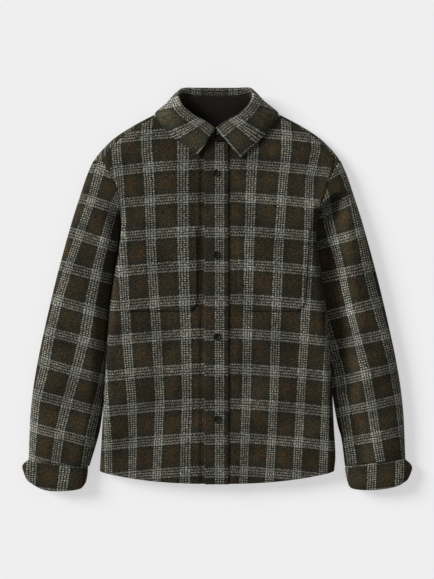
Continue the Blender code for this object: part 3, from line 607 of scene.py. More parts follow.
frontCut = {
    "edge": {"left": -22.5, "right": 20.5},
    "neckLast": 70.0,
    "neckColumns": (0.0, 23.0, 46.5, 60.0, 75.0, 90.0),
    "hemColumns": (0.0, 23.0, 46.5, 63.0, 84.0, 105.0),
    "sideColumns": (108.0, 87.0, 66.0, 47.0, 30.0, 16.0, 6.0, 1.2, 0.0),
    "sideLength": 506.0,
    "armLength": 112.0,
    "shoulderLength": 196.0,
    "seamBend": 2.4,  # how late the shoulder seam leaves the line that it starts on
    "lapStep": 2.7,
    "lapStart": -36.5,
    "lapRun": 7.0,
}
backCut = {
    "neckColumns": (75.0, 50.0, 25.0, 0.0),
    "rollSteps": (1.0, 0.94, 0.82, 0.66, 0.5, 0.35, 0.2, 0.1),
    "pitch": 3.4,
    "stripeWide": 57.0,
    "bandDrop": 14.0,
    "endShort": 0.9,
    "flat": (0.49, 0.752),
}


def sideRows(side, pitch):
    stops = edgeStops(frontCut["sideLength"], pitch)
    line = bodySide(side, np.concatenate([[0.0], stops[3:]]))
    line[-1, 1] = hemY(line[-1, 0])
    return line


def shoulderSeam(side, gap, share, short=0.0):
    # the shoulder fold from neck to armhole, and the way from it to the seam
    kept = 1 - short / frontCut["shoulderLength"]
    fold = smoothLine(mirrored(outline["shoulderFold"], side), share * kept)
    atNeck, atArm = np.array(outline["shoulderSeam"][side]).reshape(2, 2) * (sign[side], 1.0)
    way = atNeck + (atArm - atNeck) * (share ** frontCut["seamBend"])[:, None]
    return fold, way + gap * unit(way)


def armLine(name, side, pitch):
    # the armhole's line, drawn back from the sleeve by half a seam's gap
    arm = smoothLine(sidePoints(outline[name], side), edgeStops(frontCut["armLength"], pitch))
    return arm + across(arm) * (-sign[side] * cloth["seamGap"] / 2)


def gridShares(last, hemX):
    # shares of the way down the last border and across the hem
    rows = (last[0, 1] - last[:, 1]) / (last[0, 1] - last[-1, 1])
    return rows, (hemX - hemX[0]) / (hemX[-1] - hemX[0])


def frontSheet(side):
    outward = sign[side]
    edge = frontCut["edge"][side]
    along = outward * edge
    neckEnd = len(frontCut["neckColumns"]) - 1
    seamStart, seamSpan = neckEnd + 1, len(frontCut["sideColumns"]) - 1
    hemCoarse = np.concatenate(
        [along + np.array(frontCut["hemColumns"]), hem["half"] - np.array(frontCut["sideColumns"])]
    )
    coarse = np.arange(float(len(hemCoarse)))
    wide = hemCoarse[-1] - hemCoarse[0]
    at = np.interp(hemCoarse[0] + wide * edgeStops(wide, cloth["pitch"]), hemCoarse, coarse)
    at = np.unique(np.concatenate([at, [neckEnd, seamStart]]))
    seamShare = np.clip((at[at >= seamStart] - seamStart) / seamSpan, 0.0, 1.0)
    fold, way = shoulderSeam(side, cloth["seamGap"] / 2, seamShare)
    seam = fold + way
    neckCoarse = along + np.array(frontCut["neckColumns"])
    neckCoarse[-1] = frontCut["neckLast"]
    neckX = np.interp(at[at <= neckEnd], coarse[:seamStart], neckCoarse)
    neck = np.stack([outward * neckX, valueAt(outline["neckFront"], np.abs(neckX))], -1)
    between = (at > neckEnd) & (at < seamStart)
    link = neck[-1] + (at[between] - neckEnd)[:, None] * (seam[0] - neck[-1])
    arm = armLine("armholeFront", side, cloth["pitch"])
    arm[0] = arm[0] + unit(way[-1]) * cloth["seamGap"] / 2
    seam[-1] = arm[0]
    top = np.vstack([neck, link, seam])
    last = np.vstack([arm[:-1], sideRows(side, cloth["pitch"])])
    hemX = np.interp(at, coarse, np.append(hemCoarse[:-1], outward * last[-1, 0]))
    bottom = np.stack([outward * hemX, hemY(hemX)], -1)
    rows, columns = gridShares(last, hemX)
    first = np.stack([np.full(rows.shape, edge), top[0, 1] + rows * (bottom[0, 1] - top[0, 1])], -1)
    plan = patch(top, bottom, first, last, columns, rows)
    points, normals = bodyTop(plan, side)
    if side == "right":  # lies a step lower where the other front laps over it
        lap = softStep((plan[..., 0] - frontCut["lapStart"]) / frontCut["lapRun"])
        points[..., 2] -= frontCut["lapStep"] * lap
    points[len(arm) - 1 :, -1, 2] = lay["bodyNose"] + cloth["seamGap"] / 2
    return points, normals


def front(side, finish):
    points, normals = frontSheet(side)
    flat = points[..., :2] + stretched(points, 1, 0) + stretched(points, 0, points.shape[0] // 2)
    uv = countToUv(*bodyCount(flat, side))
    return clothPiece("front_" + side, points, normals, cloth["thick"], uv, "plaid_cloth", finish)


def back(finish):
    # flat underneath, with its shoulders rolled forward over the fold
    seamSpan, neckSpan = len(frontCut["sideColumns"]) - 1, len(backCut["neckColumns"])
    centre = seamSpan + neckSpan
    seamLeft = centre + neckSpan
    sideX = np.array(frontCut["sideColumns"])[::-1] - hem["half"]
    half = np.concatenate([sideX, -np.array(backCut["neckColumns"])])
    hemCoarse = np.concatenate([half, -half[-2::-1]])
    coarse = np.arange(float(len(hemCoarse)))
    wide = 2 * hem["half"]
    at = np.interp(-hem["half"] + wide * edgeStops(wide, backCut["pitch"]), hemCoarse, coarse)
    at = np.unique(np.concatenate([at, [seamSpan, seamLeft]]))
    shares = {
        "right": (1 - at[at <= seamSpan] / seamSpan)[::-1],
        "left": (at[at >= seamLeft] - seamLeft) / seamSpan,
    }
    folds = {
        side: shoulderSeam(side, -cloth["seamGap"] / 2, share, backCut["endShort"])
        for side, share in shares.items()
    }
    neckHalf = smoothLine(outline["neckBack"], even(40))
    neckX = (at[(at > seamSpan) & (at < seamLeft)] - centre) / neckSpan * neckHalf[-1, 0]
    neck = np.stack([neckX, np.interp(np.abs(neckX), neckHalf[:, 0], neckHalf[:, 1])], -1)
    top = np.vstack([folds["right"][0][::-1], neck, folds["left"][0]])
    hemX = np.interp(at, coarse, hemCoarse)
    bottom = np.stack([hemX, hemY(hemX)], -1)
    borders = {}
    for side in sign:
        arm = armLine("armholeBack", side, backCut["pitch"])
        arm[0] = folds[side][0][-1]
        borders[side] = np.vstack([arm[:-1], sideRows(side, backCut["pitch"])])
    rows, columns = gridShares(borders["left"], hemX)
    plan = patch(top, bottom, borders["right"], borders["left"], columns, rows)
    middle = int(np.searchsorted(at, centre))
    sides = [bodyBottom(plan[:, :middle], "right"), bodyBottom(plan[:, middle:], "left")]
    points, normals = (np.concatenate([half[k] for half in sides], 1) for k in (0, 1))
    points[1:, (0, -1), 2] = np.minimum(points[1:, (0, -1), 2], lay["bodyNose"] - cloth["seamGap"] / 2)
    steps = np.array(backCut["rollSteps"])
    rolls = len(steps)
    rollPoints, rollNormals = (np.repeat(part[:1], rolls, 0) for part in (points, normals))
    shoulder, otherShoulder = (int(np.searchsorted(at, place)) for place in (seamSpan, seamLeft))
    places = {"right": slice(shoulder, None, -1), "left": slice(otherShoulder, points.shape[1])}
    for side, place in places.items():
        fold, way = folds[side]
        rolled = fold[None] + way[None] * steps[:, None, None]
        rollPoints[:, place], rollNormals[:, place] = bodyTop(rolled, side)
    points = np.concatenate([rollPoints, points])
    normals = np.concatenate([rollNormals, normals])
    holes = np.zeros((points.shape[0] - 1, points.shape[1] - 1), bool)
    holes[:rolls, shoulder:otherShoulder] = True
    flat = points[..., :2].copy()
    length = runLength(points, 0)
    flat[:rolls, :, 1] = flat[rolls, :, 1] + (length[rolls] - length[:rolls])
    bands = [np.full(flat.shape[:2], -band) for band in check["bands"]]
    down = countLines(bands, -flat[..., 1] - backCut["bandDrop"])
    uv = countToUv(flat[..., 0] / backCut["stripeWide"], down)
    made = clothMesh("back", points, normals, cloth["thick"], uv, holes=holes)
    area = min(quadArea(points), np.prod(backCut["flat"]))
    return wear(made, "back", "plaid_cloth", finish, backCut["flat"], area)


# Sleeves and cuffs

sleeveCut = {
    "rings": 190,
    "half": 42,  # points over the top of one ring
    "length": 640.0,
    "lag": 0.1,
    "headShare": 0.26,
    "valleyShare": 0.1,
    "seam": {  # where the cuff is sewn on: inner end, outer end
        "right": ((251.5, -345.4), (367.6, -331.0)),
        "left": ((249.6, -344.2), (367.6, -330.0)),
    },
}
cuffCut = {
    "outer": {
        "right": ((367.6, -331.0), (380.0, -342.5), (377.5, -356.0), (371.9, -370.4)),
        "left": ((367.6, -330.0), (380.6, -343.5), (378.5, -357.5), (372.4, -370.4)),
    },
    "inner": {
        "right": ((251.5, -345.4), (252.4, -360.0), (255.5, -375.5)),
        "left": ((249.6, -344.2), (251.2, -360.0), (254.6, -375.0)),
    },
    "lower": {
        "right": ((255.5, -375.5), (268.3, -387.4), (308.5, -391.5), (340.3, -387.4), (371.9, -370.4)),
        "left": ((254.6, -375.0), (264.0, -386.4), (302.0, -389.3), (345.9, -383.1), (372.4, -370.4)),
    },
    "stripes": {  # y, then the two stripes' x
        "right": ((-386.6, 301.3, 363.0), (-347.6, 295.4, 360.8)),
        "left": ((-386.6, 299.5, 354.5), (-347.6, 301.0, 355.5)),
    },
    "bandAbove": 6.4,  # how far the last band's middle lies above the cuff's seam
    "radius": 34.0,
    "height": 26.8,
    "gap": 0.5,
    "length": 46.0,
    "pitch": 2.6,
    "points": 44,  # across the top
}


def spread(count):
    return (1 - np.cos(np.pi * even(count - 1))) / 2


def alongSeam(normals, seam):
    square = unit(np.array([-seam[1], seam[0], 0.0]))
    return unit(normals - (normals @ square)[..., None] * square)


def sleeveRings(side):
    outward = sign[side]
    armShares = spread(sleeveCut["half"])
    frontArm = smoothLine(sidePoints(outline["armholeFront"], side), armShares)
    foldPoint = mirrored(outline["shoulderFold"], side)[-1]
    upperHead = np.vstack([frontArm[::-1], foldPoint])
    lowerHead = smoothLine(sidePoints(outline["armholeBack"], side), armShares)[::-1]
    length = runLength(upperHead, 0)
    heads = ((upperHead, length / length[-1]), (lowerHead, 1 - armShares[::-1]))
    steps = edgeStops(sleeveCut["length"], sleeveCut["length"] / sleeveCut["rings"])
    outer = smoothLine(mirrored(outline["sleeveFold"], side), steps)
    innerSteps = steps - sleeveCut["lag"] * np.sin(np.pi * steps)
    inner = sleeveInner(side, innerSteps)
    innerNose = valueAt(lay["innerNose"], innerSteps)
    inner[-1], outer[-1] = mirrored(sleeveCut["seam"][side], side)
    innerLine, outerLine = sleeveInner(side, even(40)), outerFold(side)
    points, normals, virtual = [], [], []
    for index, share in enumerate(steps):
        whole = softStep(share / sleeveCut["headShare"])
        beside = softStep(share / sleeveCut["valleyShare"])
        height = valueAt(lay["sleeveHeight"], share)
        outerNose = lay["bodyNose"] + whole * (lay["sleeveNose"] - lay["bodyNose"])
        innerRadius = lay["noseRadius"] + beside * (lay["sleeveInnerRadius"][side] - lay["noseRadius"])
        outerRadius = lay["shoulderRadius"] + whole * (lay["sleeveRadius"][side] - lay["shoulderRadius"])
        folds = (
            (innerLine, np.array([outward, 0.0]), innerRadius, beside * lay["sleeveHollow"][side]),
            (outerLine, np.array([-outward, -0.6]), outerRadius, 0.0),
        )
        held = (1 - np.clip(share / sleeveCut["headShare"], 0, 1)) ** 2
        halves, noses = [], []
        for head, shares in heads:
            chord = head[0] + shares[:, None] * (head[-1] - head[0])
            evenShares = shares * held + (1 - held) * spread(len(shares))
            noses.append(innerNose[index] + softStep(evenShares) * (outerNose - innerNose[index]))
            line = inner[index] + evenShares[:, None] * (outer[index] - inner[index])
            halves.append(line + held * (head - chord))
        if index == 0:
            halves = [half - cloth["seamGap"] / 2 * outward * across(half) for half in halves]
        upper, lower = halves[0], halves[1][::-1][1:]
        topHeight = np.full(len(upper), height)
        if share < sleeveCut["headShare"]:
            body = valueAt(lay["bodyHeight"], upper[:, 1])
            topHeight = body + whole * (height - body)
        up = upperSheet(upper, folds, topHeight, noses[0])
        low = lowerSheet(halves[1], folds, noses[1])
        ring = np.concatenate([up[0], low[0][::-1][1:]])
        away = unit(upper[-1] - upper[0])
        under = lower + 2 * ((upper[-1] - lower) @ away)[:, None] * away
        extra = runLength(ring, 0) - runLength(ring[:, :2], 0)
        extra = extra - extra[len(upper) // 2]
        virtual.append(np.concatenate([upper, under]) + extra[:, None] * away)
        points.append(ring[:-1])
        normals.append(np.concatenate([up[1], low[1][::-1][1:-1]]))
    points, normals, virtual = np.stack(points), np.stack(normals), np.stack(virtual)
    normals[-1] = alongSeam(normals[-1], outer[-1] - inner[-1])
    return points, normals, virtual


def sleeve(side, finish):
    points, normals, virtual = sleeveRings(side)
    uv = countToUv(*sleeveCount(virtual, side))
    return clothPiece("sleeve_" + side, points, normals, cloth["thick"], uv, "plaid_cloth", finish, ring=True)


def cuffSheet(side):
    # one band around the wrist, its two ends pressed together where they stand out
    outward = sign[side]
    gap = np.array([0.0, -cuffCut["gap"]])
    stops = edgeStops(cuffCut["length"], cuffCut["pitch"])
    shares = spread(cuffCut["points"])
    inner = smoothLine(mirrored(cuffCut["inner"][side], side), stops)
    outer = smoothLine(mirrored(cuffCut["outer"][side], side), stops)
    top = inner[0] + shares[:, None] * (outer[0] - inner[0])
    bottom = smoothLine(mirrored(cuffCut["lower"][side], side), shares)
    plan = patch(top, bottom, inner, outer, shares, stops) + gap
    folds = []
    for name, way in (("inner", outward), ("outer", -outward)):
        line = smoothLine(mirrored(cuffCut[name][side], side), even(20)) + gap
        folds.append((line, np.array([way, 0.0]), cuffCut["radius"], 0.0))
    nose = np.full(plan.shape[:-1], lay["sleeveNose"])
    up = upperSheet(plan, folds, np.full(plan.shape[:-1], cuffCut["height"]), nose)
    low = lowerSheet(plan, folds, nose)
    up[0][:, -1, 2] += cloth["seamGap"]
    points = np.concatenate([up[0][:, ::-1], low[0][:, 1:]], 1)
    normals = np.concatenate([up[1][:, ::-1], low[1][:, 1:]], 1)
    normals[0] = alongSeam(normals[0], outer[0] - inner[0])
    folded = plan[:, :1] - (plan[:, 1:] - plan[:, :1])
    flat = np.concatenate([plan[:, ::-1], folded], 1)
    return points, normals, flat


def cuff(side, finish):
    points, normals, flat = cuffSheet(side)
    x, y = sign[side] * flat[..., 0], flat[..., 1]
    table = cuffCut["stripes"][side]
    innerX, outerX = (valueAt(table, y, index) for index in (1, 2))
    count = (x - innerX) / (outerX - innerX)
    (x0, y0), (x1, y1) = sleeveCut["seam"][side]
    seamY = y0 + (x - x0) * (y1 - y0) / (x1 - x0)
    down = (seamY - y + cuffCut["bandAbove"]) / check["tall"]
    uv = countToUv(sign[side] * count, down)
    return clothPiece("cuff_" + side, points, normals, cloth["thick"], uv, "plaid_cloth", finish, free=0.6)


# Button band and pockets

placketCut = {
    "edge": -23.5,
    "top": 288.3,
    "length": 664.0,
    "width": 46.0,
    "pitch": 2.6,
    "thinner": 0.1,
    "stripeX": 4.9,
    "bandDrop": 4.0,
}
pocketCut = {
    # outer x at the top, halfway and at the bottom, inner x, top y, bottom y
    "right": (-182.0, -191.5, -192.0, -39.0, 119.5, -41.4),
    "left": (179.5, 174.5, 168.0, 41.9, 116.5, -41.4),
    "corner": 13.0,
    "slant": 0.9,  # of the cut corner
    "width": 140.0,
    "pitch": 2.6,
    "cornerPitch": 2.2,
    "lift": 0.6,
    "shift": {"right": 0.6, "left": -0.8},  # how far its check misses the front's
}


def onBody(name, plan, side, lift, uv, finish):
    # a second layer laid on the body cloth
    points, normals = bodyTop(plan, side)
    points = points + (lift + cloth["thick"]) * normals
    thick = cloth["thick"] - placketCut["thinner"]
    return clothPiece(name, points, normals, thick, uv, "plaid_cloth", finish, free=1.0)


def placket(finish):
    down = edgeStops(placketCut["length"], cloth["pitch"])
    y = placketCut["top"] + down * (hem["low"] - placketCut["top"])
    x = placketCut["edge"] + placketCut["width"] * edgeStops(placketCut["width"], placketCut["pitch"])
    plan = np.stack(np.meshgrid(x, y), -1)
    _, down = bodyCount(plan + (0.0, placketCut["bandDrop"]), "left")
    uv = countToUv((plan[..., 0] - placketCut["stripeX"]) / check["wide"], down)
    return onBody("placket", plan, "left", cloth["seamGap"] + 0.1, uv, finish)


def pocketPlan(side):
    topX, middleX, lowX, innerX, topY, lowY = pocketCut[side]
    corner, pitch = pocketCut["corner"], pocketCut["pitch"]
    straight = topY - lowY - corner
    rows = np.concatenate([
        topY - edgeStops(straight, pitch)[:-4] * straight,
        lowY + corner * (1 - edgeStops(corner, pocketCut["cornerPitch"])),
    ])
    outerX = smoothLine(((topX, topY), (middleX, (topY + lowY) / 2), (lowX, lowY)), even(40))
    cut = np.clip(lowY + corner - rows, 0, None) * sign[side] * pocketCut["slant"]
    outer = np.interp(rows, outerX[::-1, 1], outerX[::-1, 0]) - cut
    inner = innerX + cut
    share = edgeStops(pocketCut["width"], pitch)
    x = inner[:, None] + share[None] * (outer - inner)[:, None]
    return np.stack([x, np.repeat(rows[:, None], x.shape[1], 1)], -1)


def pocket(side, finish):
    plan = pocketPlan(side)
    uv = countToUv(*bodyCount(plan + (0.0, pocketCut["shift"][side]), side))
    return onBody("pocket_" + side, plan, side, pocketCut["lift"], uv, finish)


# Collar and neck

collarCut = {
    # from the back's centre to the front: roll x y z, neck seam x y z, free edge x y z
    "right": (
        (0.0, 391.0, 30.0, 0.0, 341.2, 3.0, 0.0, 362.0, 2.6),
        (-40.0, 391.2, 31.0, -29.0, 342.4, 3.2, -41.0, 363.0, 2.6),
        (-67.0, 389.5, 34.5, -55.0, 347.0, 4.6, -71.0, 372.5, 2.6),
        (-75.5, 377.0, 40.5, -72.0, 353.0, 9.0, -94.5, 366.0, 3.5),
        (-69.5, 361.2, 44.0, -78.0, 348.5, 24.0, -119.6, 346.8, 12.5),
        (-64.5, 354.5, 44.5, -77.5, 341.0, 28.5, -118.0, 337.0, 25.0),
        (-57.0, 347.5, 44.5, -74.5, 332.5, 30.2, -111.0, 322.2, 31.5),
        (-38.5, 334.5, 42.0, -61.0, 312.5, 31.0, -91.7, 300.8, 34.0),
        (-19.8, 325.2, 39.5, -36.0, 295.5, 31.2, -65.0, 280.0, 34.0),
        (-3.1, 313.0, 37.0, -3.1, 288.0, 31.4, -36.5, 261.5, 34.2),
    ),
    "left": (
        (0.0, 391.0, 30.0, 0.0, 341.2, 3.0, 0.0, 362.0, 2.6),
        (39.0, 391.2, 31.0, 29.0, 342.4, 3.2, 40.0, 363.0, 2.6),
        (65.0, 390.0, 34.5, 55.0, 347.0, 4.6, 69.0, 372.5, 2.6),
        (70.0, 376.0, 40.5, 71.5, 353.0, 9.0, 94.5, 366.0, 3.5),
        (62.5, 361.2, 44.0, 78.0, 348.5, 24.0, 119.0, 346.5, 12.5),
        (57.5, 354.5, 44.5, 77.5, 341.0, 28.5, 118.0, 337.0, 25.0),
        (50.5, 347.8, 44.5, 74.5, 332.5, 30.2, 110.5, 323.5, 31.5),
        (35.0, 335.5, 42.0, 61.0, 312.5, 31.0, 91.5, 299.0, 34.0),
        (14.5, 325.5, 39.5, 36.0, 295.5, 31.2, 65.0, 271.5, 34.0),
        (-2.3, 313.0, 37.0, -2.3, 288.0, 31.4, 46.3, 255.6, 34.2),
    ),
    "rollRadius": 3.8,
    "rollLine": 11,  # the column of points on the roll's top
    "rollSteps": 11,
    "strip": 11.0,
    "stripSteps": (1.0, 0.96, 0.9, 0.75, 0.5, 0.25),
    "bulge": 4.0,
    "steps": 76,
    "standTall": 22.0,
    "standPitch": 2.4,
    "standDrop": 0.7,  # below the neck seam
    "standBand": 0.3,
    "bandFromRoll": {  # share from the back to the front, distance
        "right": ((0.0, -8.0), (0.18, -7.0), (0.42, 9.0), (1.0, 12.0)),
        "left": ((0.0, -8.0), (0.18, -7.0), (0.42, 11.0), (1.0, 16.0)),
    },
    "stripesAt": {  # along the roll, from each leaf's front end
        "right": (-66.0, -10.0, 32.0, 88.0, 256.0),
        "left": (-66.0, -4.0, 38.0, 94.0, 262.0),
    },
    "lean": {"right": 0.1, "left": 0.0},  # of those stripes towards the back on their way to the free edge
}


def collarLine():
    # all round from the right leaf's front edge to the left one's
    steps = edgeStops(1.0, 1.0 / collarCut["steps"], (0.002, 0.005, 0.01))
    right = smoothLine(np.array(collarCut["right"]), steps)[::-1]
    left = smoothLine(np.array(collarCut["left"]), steps)
    rows = np.vstack([right, left[1:]])
    roll, seam, edge = rows[:, :3], rows[:, 3:6], rows[:, 6:]
    along = unit(np.gradient(roll, axis=0))
    toSeam, toEdge = (
        unit(way - (way * along).sum(-1, keepdims=True) * along) for way in (seam - roll, edge - roll)
    )
    share = np.concatenate([steps[::-1], steps[1:]])
    return roll, seam, edge, unit(toSeam + toEdge), unit(toEdge - toSeam), share


def collarSheet():
    roll, seam, edge, into, over, share = collarLine()
    radius = collarCut["rollRadius"]
    lines = []
    for turn in np.linspace(-90.0, 90.0, collarCut["rollSteps"]):
        angle = np.radians(turn)
        lines.append(roll + radius * ((1 - np.cos(angle)) * into + np.sin(angle) * over))
    inside, outside = lines[0], lines[-1]
    way = unit(seam - inside)
    lines = [inside + collarCut["strip"] * part * way for part in collarCut["stripSteps"]] + lines
    along = unit(np.gradient(roll, axis=0))
    proud = unit(np.cross(edge - outside, along))
    proud *= np.sign((proud * over).sum(-1, keepdims=True))
    for part in (*np.linspace(0.05, 0.95, 19), 0.975, 0.99, 1.0):
        lines.append(outside + part * (edge - outside) + collarCut["bulge"] * 4 * part * (1 - part) * proud)
    points = np.stack(lines, 1)
    down, out = np.gradient(points, axis=(0, 1))
    normals = unit(np.cross(down, out))
    normals *= -np.sign((normals[:, collarCut["rollLine"]] * into).sum(-1).mean())
    return points, normals, share


def collar(finish):
    points, normals, share = collarSheet()
    onRoll = slice(collarCut["rollLine"], collarCut["rollLine"] + 1)
    fromRoll = runLength(points, 1)
    fromRoll = fromRoll - fromRoll[:, onRoll]
    nearRight = np.arange(len(share)) <= len(share) // 2
    offset = np.where(nearRight, *(valueAt(collarCut["bandFromRoll"][side], share) for side in sign))
    down = (fromRoll - offset[:, None]) / check["tall"]
    along = runLength(points[:, onRoll], 0)[:, 0]
    fromEnd = np.where(nearRight, along, along[-1] - along)[:, None]
    leaf = np.maximum(fromRoll, 0.0)
    count = [
        np.interp(fromEnd - collarCut["lean"][side] * leaf, collarCut["stripesAt"][side], (-1, 0, 1, 2, 5))
        for side in sign
    ]
    uv = countToUv(np.where(nearRight[:, None], *count), down)
    return clothPiece("collar", points, normals, cloth["collarThick"], uv, "plaid_cloth", finish, free=1.0)


def stand(name, depth, thick, slotName, finish):
    # one of the two layers between the neck seam and the collar's inner edge
    roll, seam, _, into, over, _ = collarLine()
    inside = roll + collarCut["rollRadius"] * (into - over)
    way = unit(seam - inside)
    top = inside + (collarCut["strip"] + 2 * cloth["seamGap"]) * way
    base = seam + collarCut["standDrop"] * way
    shares = edgeStops(collarCut["standTall"], collarCut["standPitch"])
    points = np.stack([base + share * (top - base) for share in shares], 1)
    along, up = np.gradient(points, axis=(0, 1))
    normals = unit(np.cross(up, along))
    normals *= -np.sign((normals * over[:, None]).sum(-1, keepdims=True))
    points = points - depth * normals
    run = runLength(points, 0)
    down = runLength(points, 1) / check["tall"] + collarCut["standBand"]
    uv = countToUv((run - run[-1:] / 2) / check["wide"], down)
    return clothPiece(name, points, normals, thick, uv, slotName, finish)


facingCut = {
    "half": 55.0,
    "depth": 62.0,
    "flatness": 0.94,
    "below": 4.0,
    "least": 6.0,
    "overSeam": 0.9,
    "pitch": 3.0,
}


def neckFacing(finish):
    # the brown half-moon inside the back neck
    half, depth = facingCut["half"], facingCut["depth"]
    x = half * np.sin(np.linspace(-np.pi / 2, np.pi / 2, 41))
    neck = valueAt(outline["neckBack"], np.abs(x)) + facingCut["overSeam"]
    moon = np.sqrt(np.maximum(1 - (x / half) ** 2, 0.0)) * facingCut["flatness"]
    low = neck[len(x) // 2] - depth * moon - facingCut["below"]
    share = edgeStops(depth, facingCut["pitch"])
    y = neck[None] + share[:, None] * (np.minimum(low, neck - facingCut["least"]) - neck)[None]
    z = np.full(y.shape, cloth["thick"] + cloth["seamGap"] + cloth["liningThick"])
    points = np.stack([np.repeat(x[None], len(share), 0), y, z], -1)
    normals = np.zeros(points.shape) + (0.0, 0.0, 1.0)
    uv = points[..., :2] * mm
    return clothPiece("neck_facing", points, normals, cloth["liningThick"], uv, "brown_cloth", finish)


# Cloth and button materials

class Wire:
    # a value on its way between shader nodes, which takes part in sums
    def __init__(self, recipe, socket):
        self.recipe = recipe
        self.socket = socket

    def __add__(self, other):
        return self.recipe.work("ADD", self, other)

    def __radd__(self, other):
        return self.recipe.work("ADD", other, self)

    def __sub__(self, other):
        return self.recipe.work("SUBTRACT", self, other)

    def __rsub__(self, other):
        return self.recipe.work("SUBTRACT", other, self)

    def __mul__(self, other):
        return self.recipe.work("MULTIPLY", self, other)

    def __truediv__(self, other):
        return self.recipe.work("DIVIDE", self, other)

    def __mod__(self, other):
        return self.recipe.work("FLOORED_MODULO", self, other)

    def __lt__(self, other):
        return self.recipe.work("LESS_THAN", self, other)


class Graph:
    # a tree of nodes that is being built
    def __init__(self, tree):
        self.tree = tree

    def put(self, kind, values=None, out=0, **settings):
        made = self.tree.nodes.new(kind)
        for key, value in settings.items():
            setattr(made, key, value)
        for key, value in (values or {}).items():
            self.feed(made.inputs[key], value)
        return Wire(self, made.outputs[out])

    def feed(self, socket, value):
        if isinstance(value, Wire):
            self.tree.links.new(value.socket, socket)
        else:
            socket.default_value = value

    def work(self, operation, *values):
        return self.put("ShaderNodeMath", dict(enumerate(values)), operation=operation)


class Recipe(Graph):
    # one material and the nodes that vary it
    def __init__(self, name):
        self.material = bpy.data.materials.new(name)
        self.material.use_nodes = True
        super().__init__(self.material.node_tree)
        self.shader = self.tree.nodes["Principled BSDF"]

    def clothPlace(self):
        # the place in the cloth, then its two parts, across and down
        uv = self.put("ShaderNodeUVMap", uv_map="clothUv")
        parts = self.tree.nodes.new("ShaderNodeSeparateXYZ")
        self.feed(parts.inputs[0], uv)
        return uv, Wire(self, parts.outputs[0]), Wire(self, parts.outputs[1])

    def floor(self, value):
        return self.work("FLOOR", value)

    def ramp(self, value, low, high):
        # 0 below low, 1 above high, soft between
        return self.put(
            "ShaderNodeMapRange",
            {"Value": value, "From Min": low, "From Max": high},
            interpolation_type="SMOOTHSTEP",
        )

    def blend(self, share, first, second):
        return self.put("ShaderNodeMix", {0: share, 6: first, 7: second}, out=2, data_type="RGBA")

    def tint(self, colour, factor):
        # a colour made lighter or darker by a plain factor
        grey = self.put("ShaderNodeCombineXYZ", {0: factor, 1: factor, 2: factor})
        colour = colour if isinstance(colour, Wire) else colour[:3]
        return self.put("ShaderNodeVectorMath", {0: colour, 1: grey}, operation="MULTIPLY")

    def noise(self, place, scale, detail=2.0, roughness=0.5):
        return self.put(
            "ShaderNodeTexNoise",
            {"Vector": place, "Scale": scale, "Detail": detail, "Roughness": roughness},
        )

    def cloud(self, *noise):
        # noise with its soft middle cleared, from 0 to 1
        return self.ramp(self.noise(*noise), 0.3, 0.7)

    def point(self, x, y, z=0.0):
        return self.put("ShaderNodeCombineXYZ", {0: x, 1: y, 2: z})

    def bump(self, height, distance, strength=1.0):
        return self.put("ShaderNodeBump", {"Height": height, "Distance": distance, "Strength": strength})

    def finish(self, base, roughness, normal, sheen=0.0, specular=0.12):
        self.feed(self.shader.inputs["Base Color"], base)
        self.feed(self.shader.inputs["Roughness"], roughness)
        self.feed(self.shader.inputs["Normal"], normal)
        self.feed(self.shader.inputs["Sheen Weight"], sheen)
        self.feed(self.shader.inputs["Specular IOR Level"], specular)
        return self.material


# basket weave in pairs of thick yarn; a pale group is three pale and two dark threads,
# three times over, and three pale ones more
plaidLook = {
    "warpThreads": 57,  # to a repeat
    "weftThreads": 61,
    "paleGroup": 18,
    "paleRun": 3,
    "darkRun": 2,
    "paleYarn": (0.182, 0.179, 0.150),
    "paleWarp": 1.2,  # brightness of that yarn down the cloth and across it
    "paleWeft": 0.94,
    "slateYarn": (0.0140, 0.0150, 0.0112, 1.0),
    "oliveYarn": (0.0215, 0.0198, 0.0104, 1.0),
    "rustYarn": (0.0330, 0.0222, 0.0104, 1.0),
    "rustRange": (17.0, 33.0),  # threads from the middle between two pale groups
    "slateRange": (17.0, 28.0),
    "rustStray": 36.0,  # how far blotches shift those, in threads
    "slateStray": 16.0,
    "warpPair": 2.5,  # threads that go over and under together
    "weftPair": 2.0,
    "threadStep": 1.7,
    "nap": 0.16,  # how far warp and weft blur together
    "wander": 2.2,  # how many threads' width the yarns stray
    "wanderScale": 160.0,
    "slubScale": 230.0,
    "blotchScale": 22.0,
    "patchScale": 13.0,
    "fuzzScale": 420.0,
    "sheen": 0.03,
    "roughness": 0.95,
}
collarLook = {"oliveYarn": (0.0300, 0.0295, 0.0185, 1.0), "rustYarn": (0.0380, 0.0315, 0.0170, 1.0)}


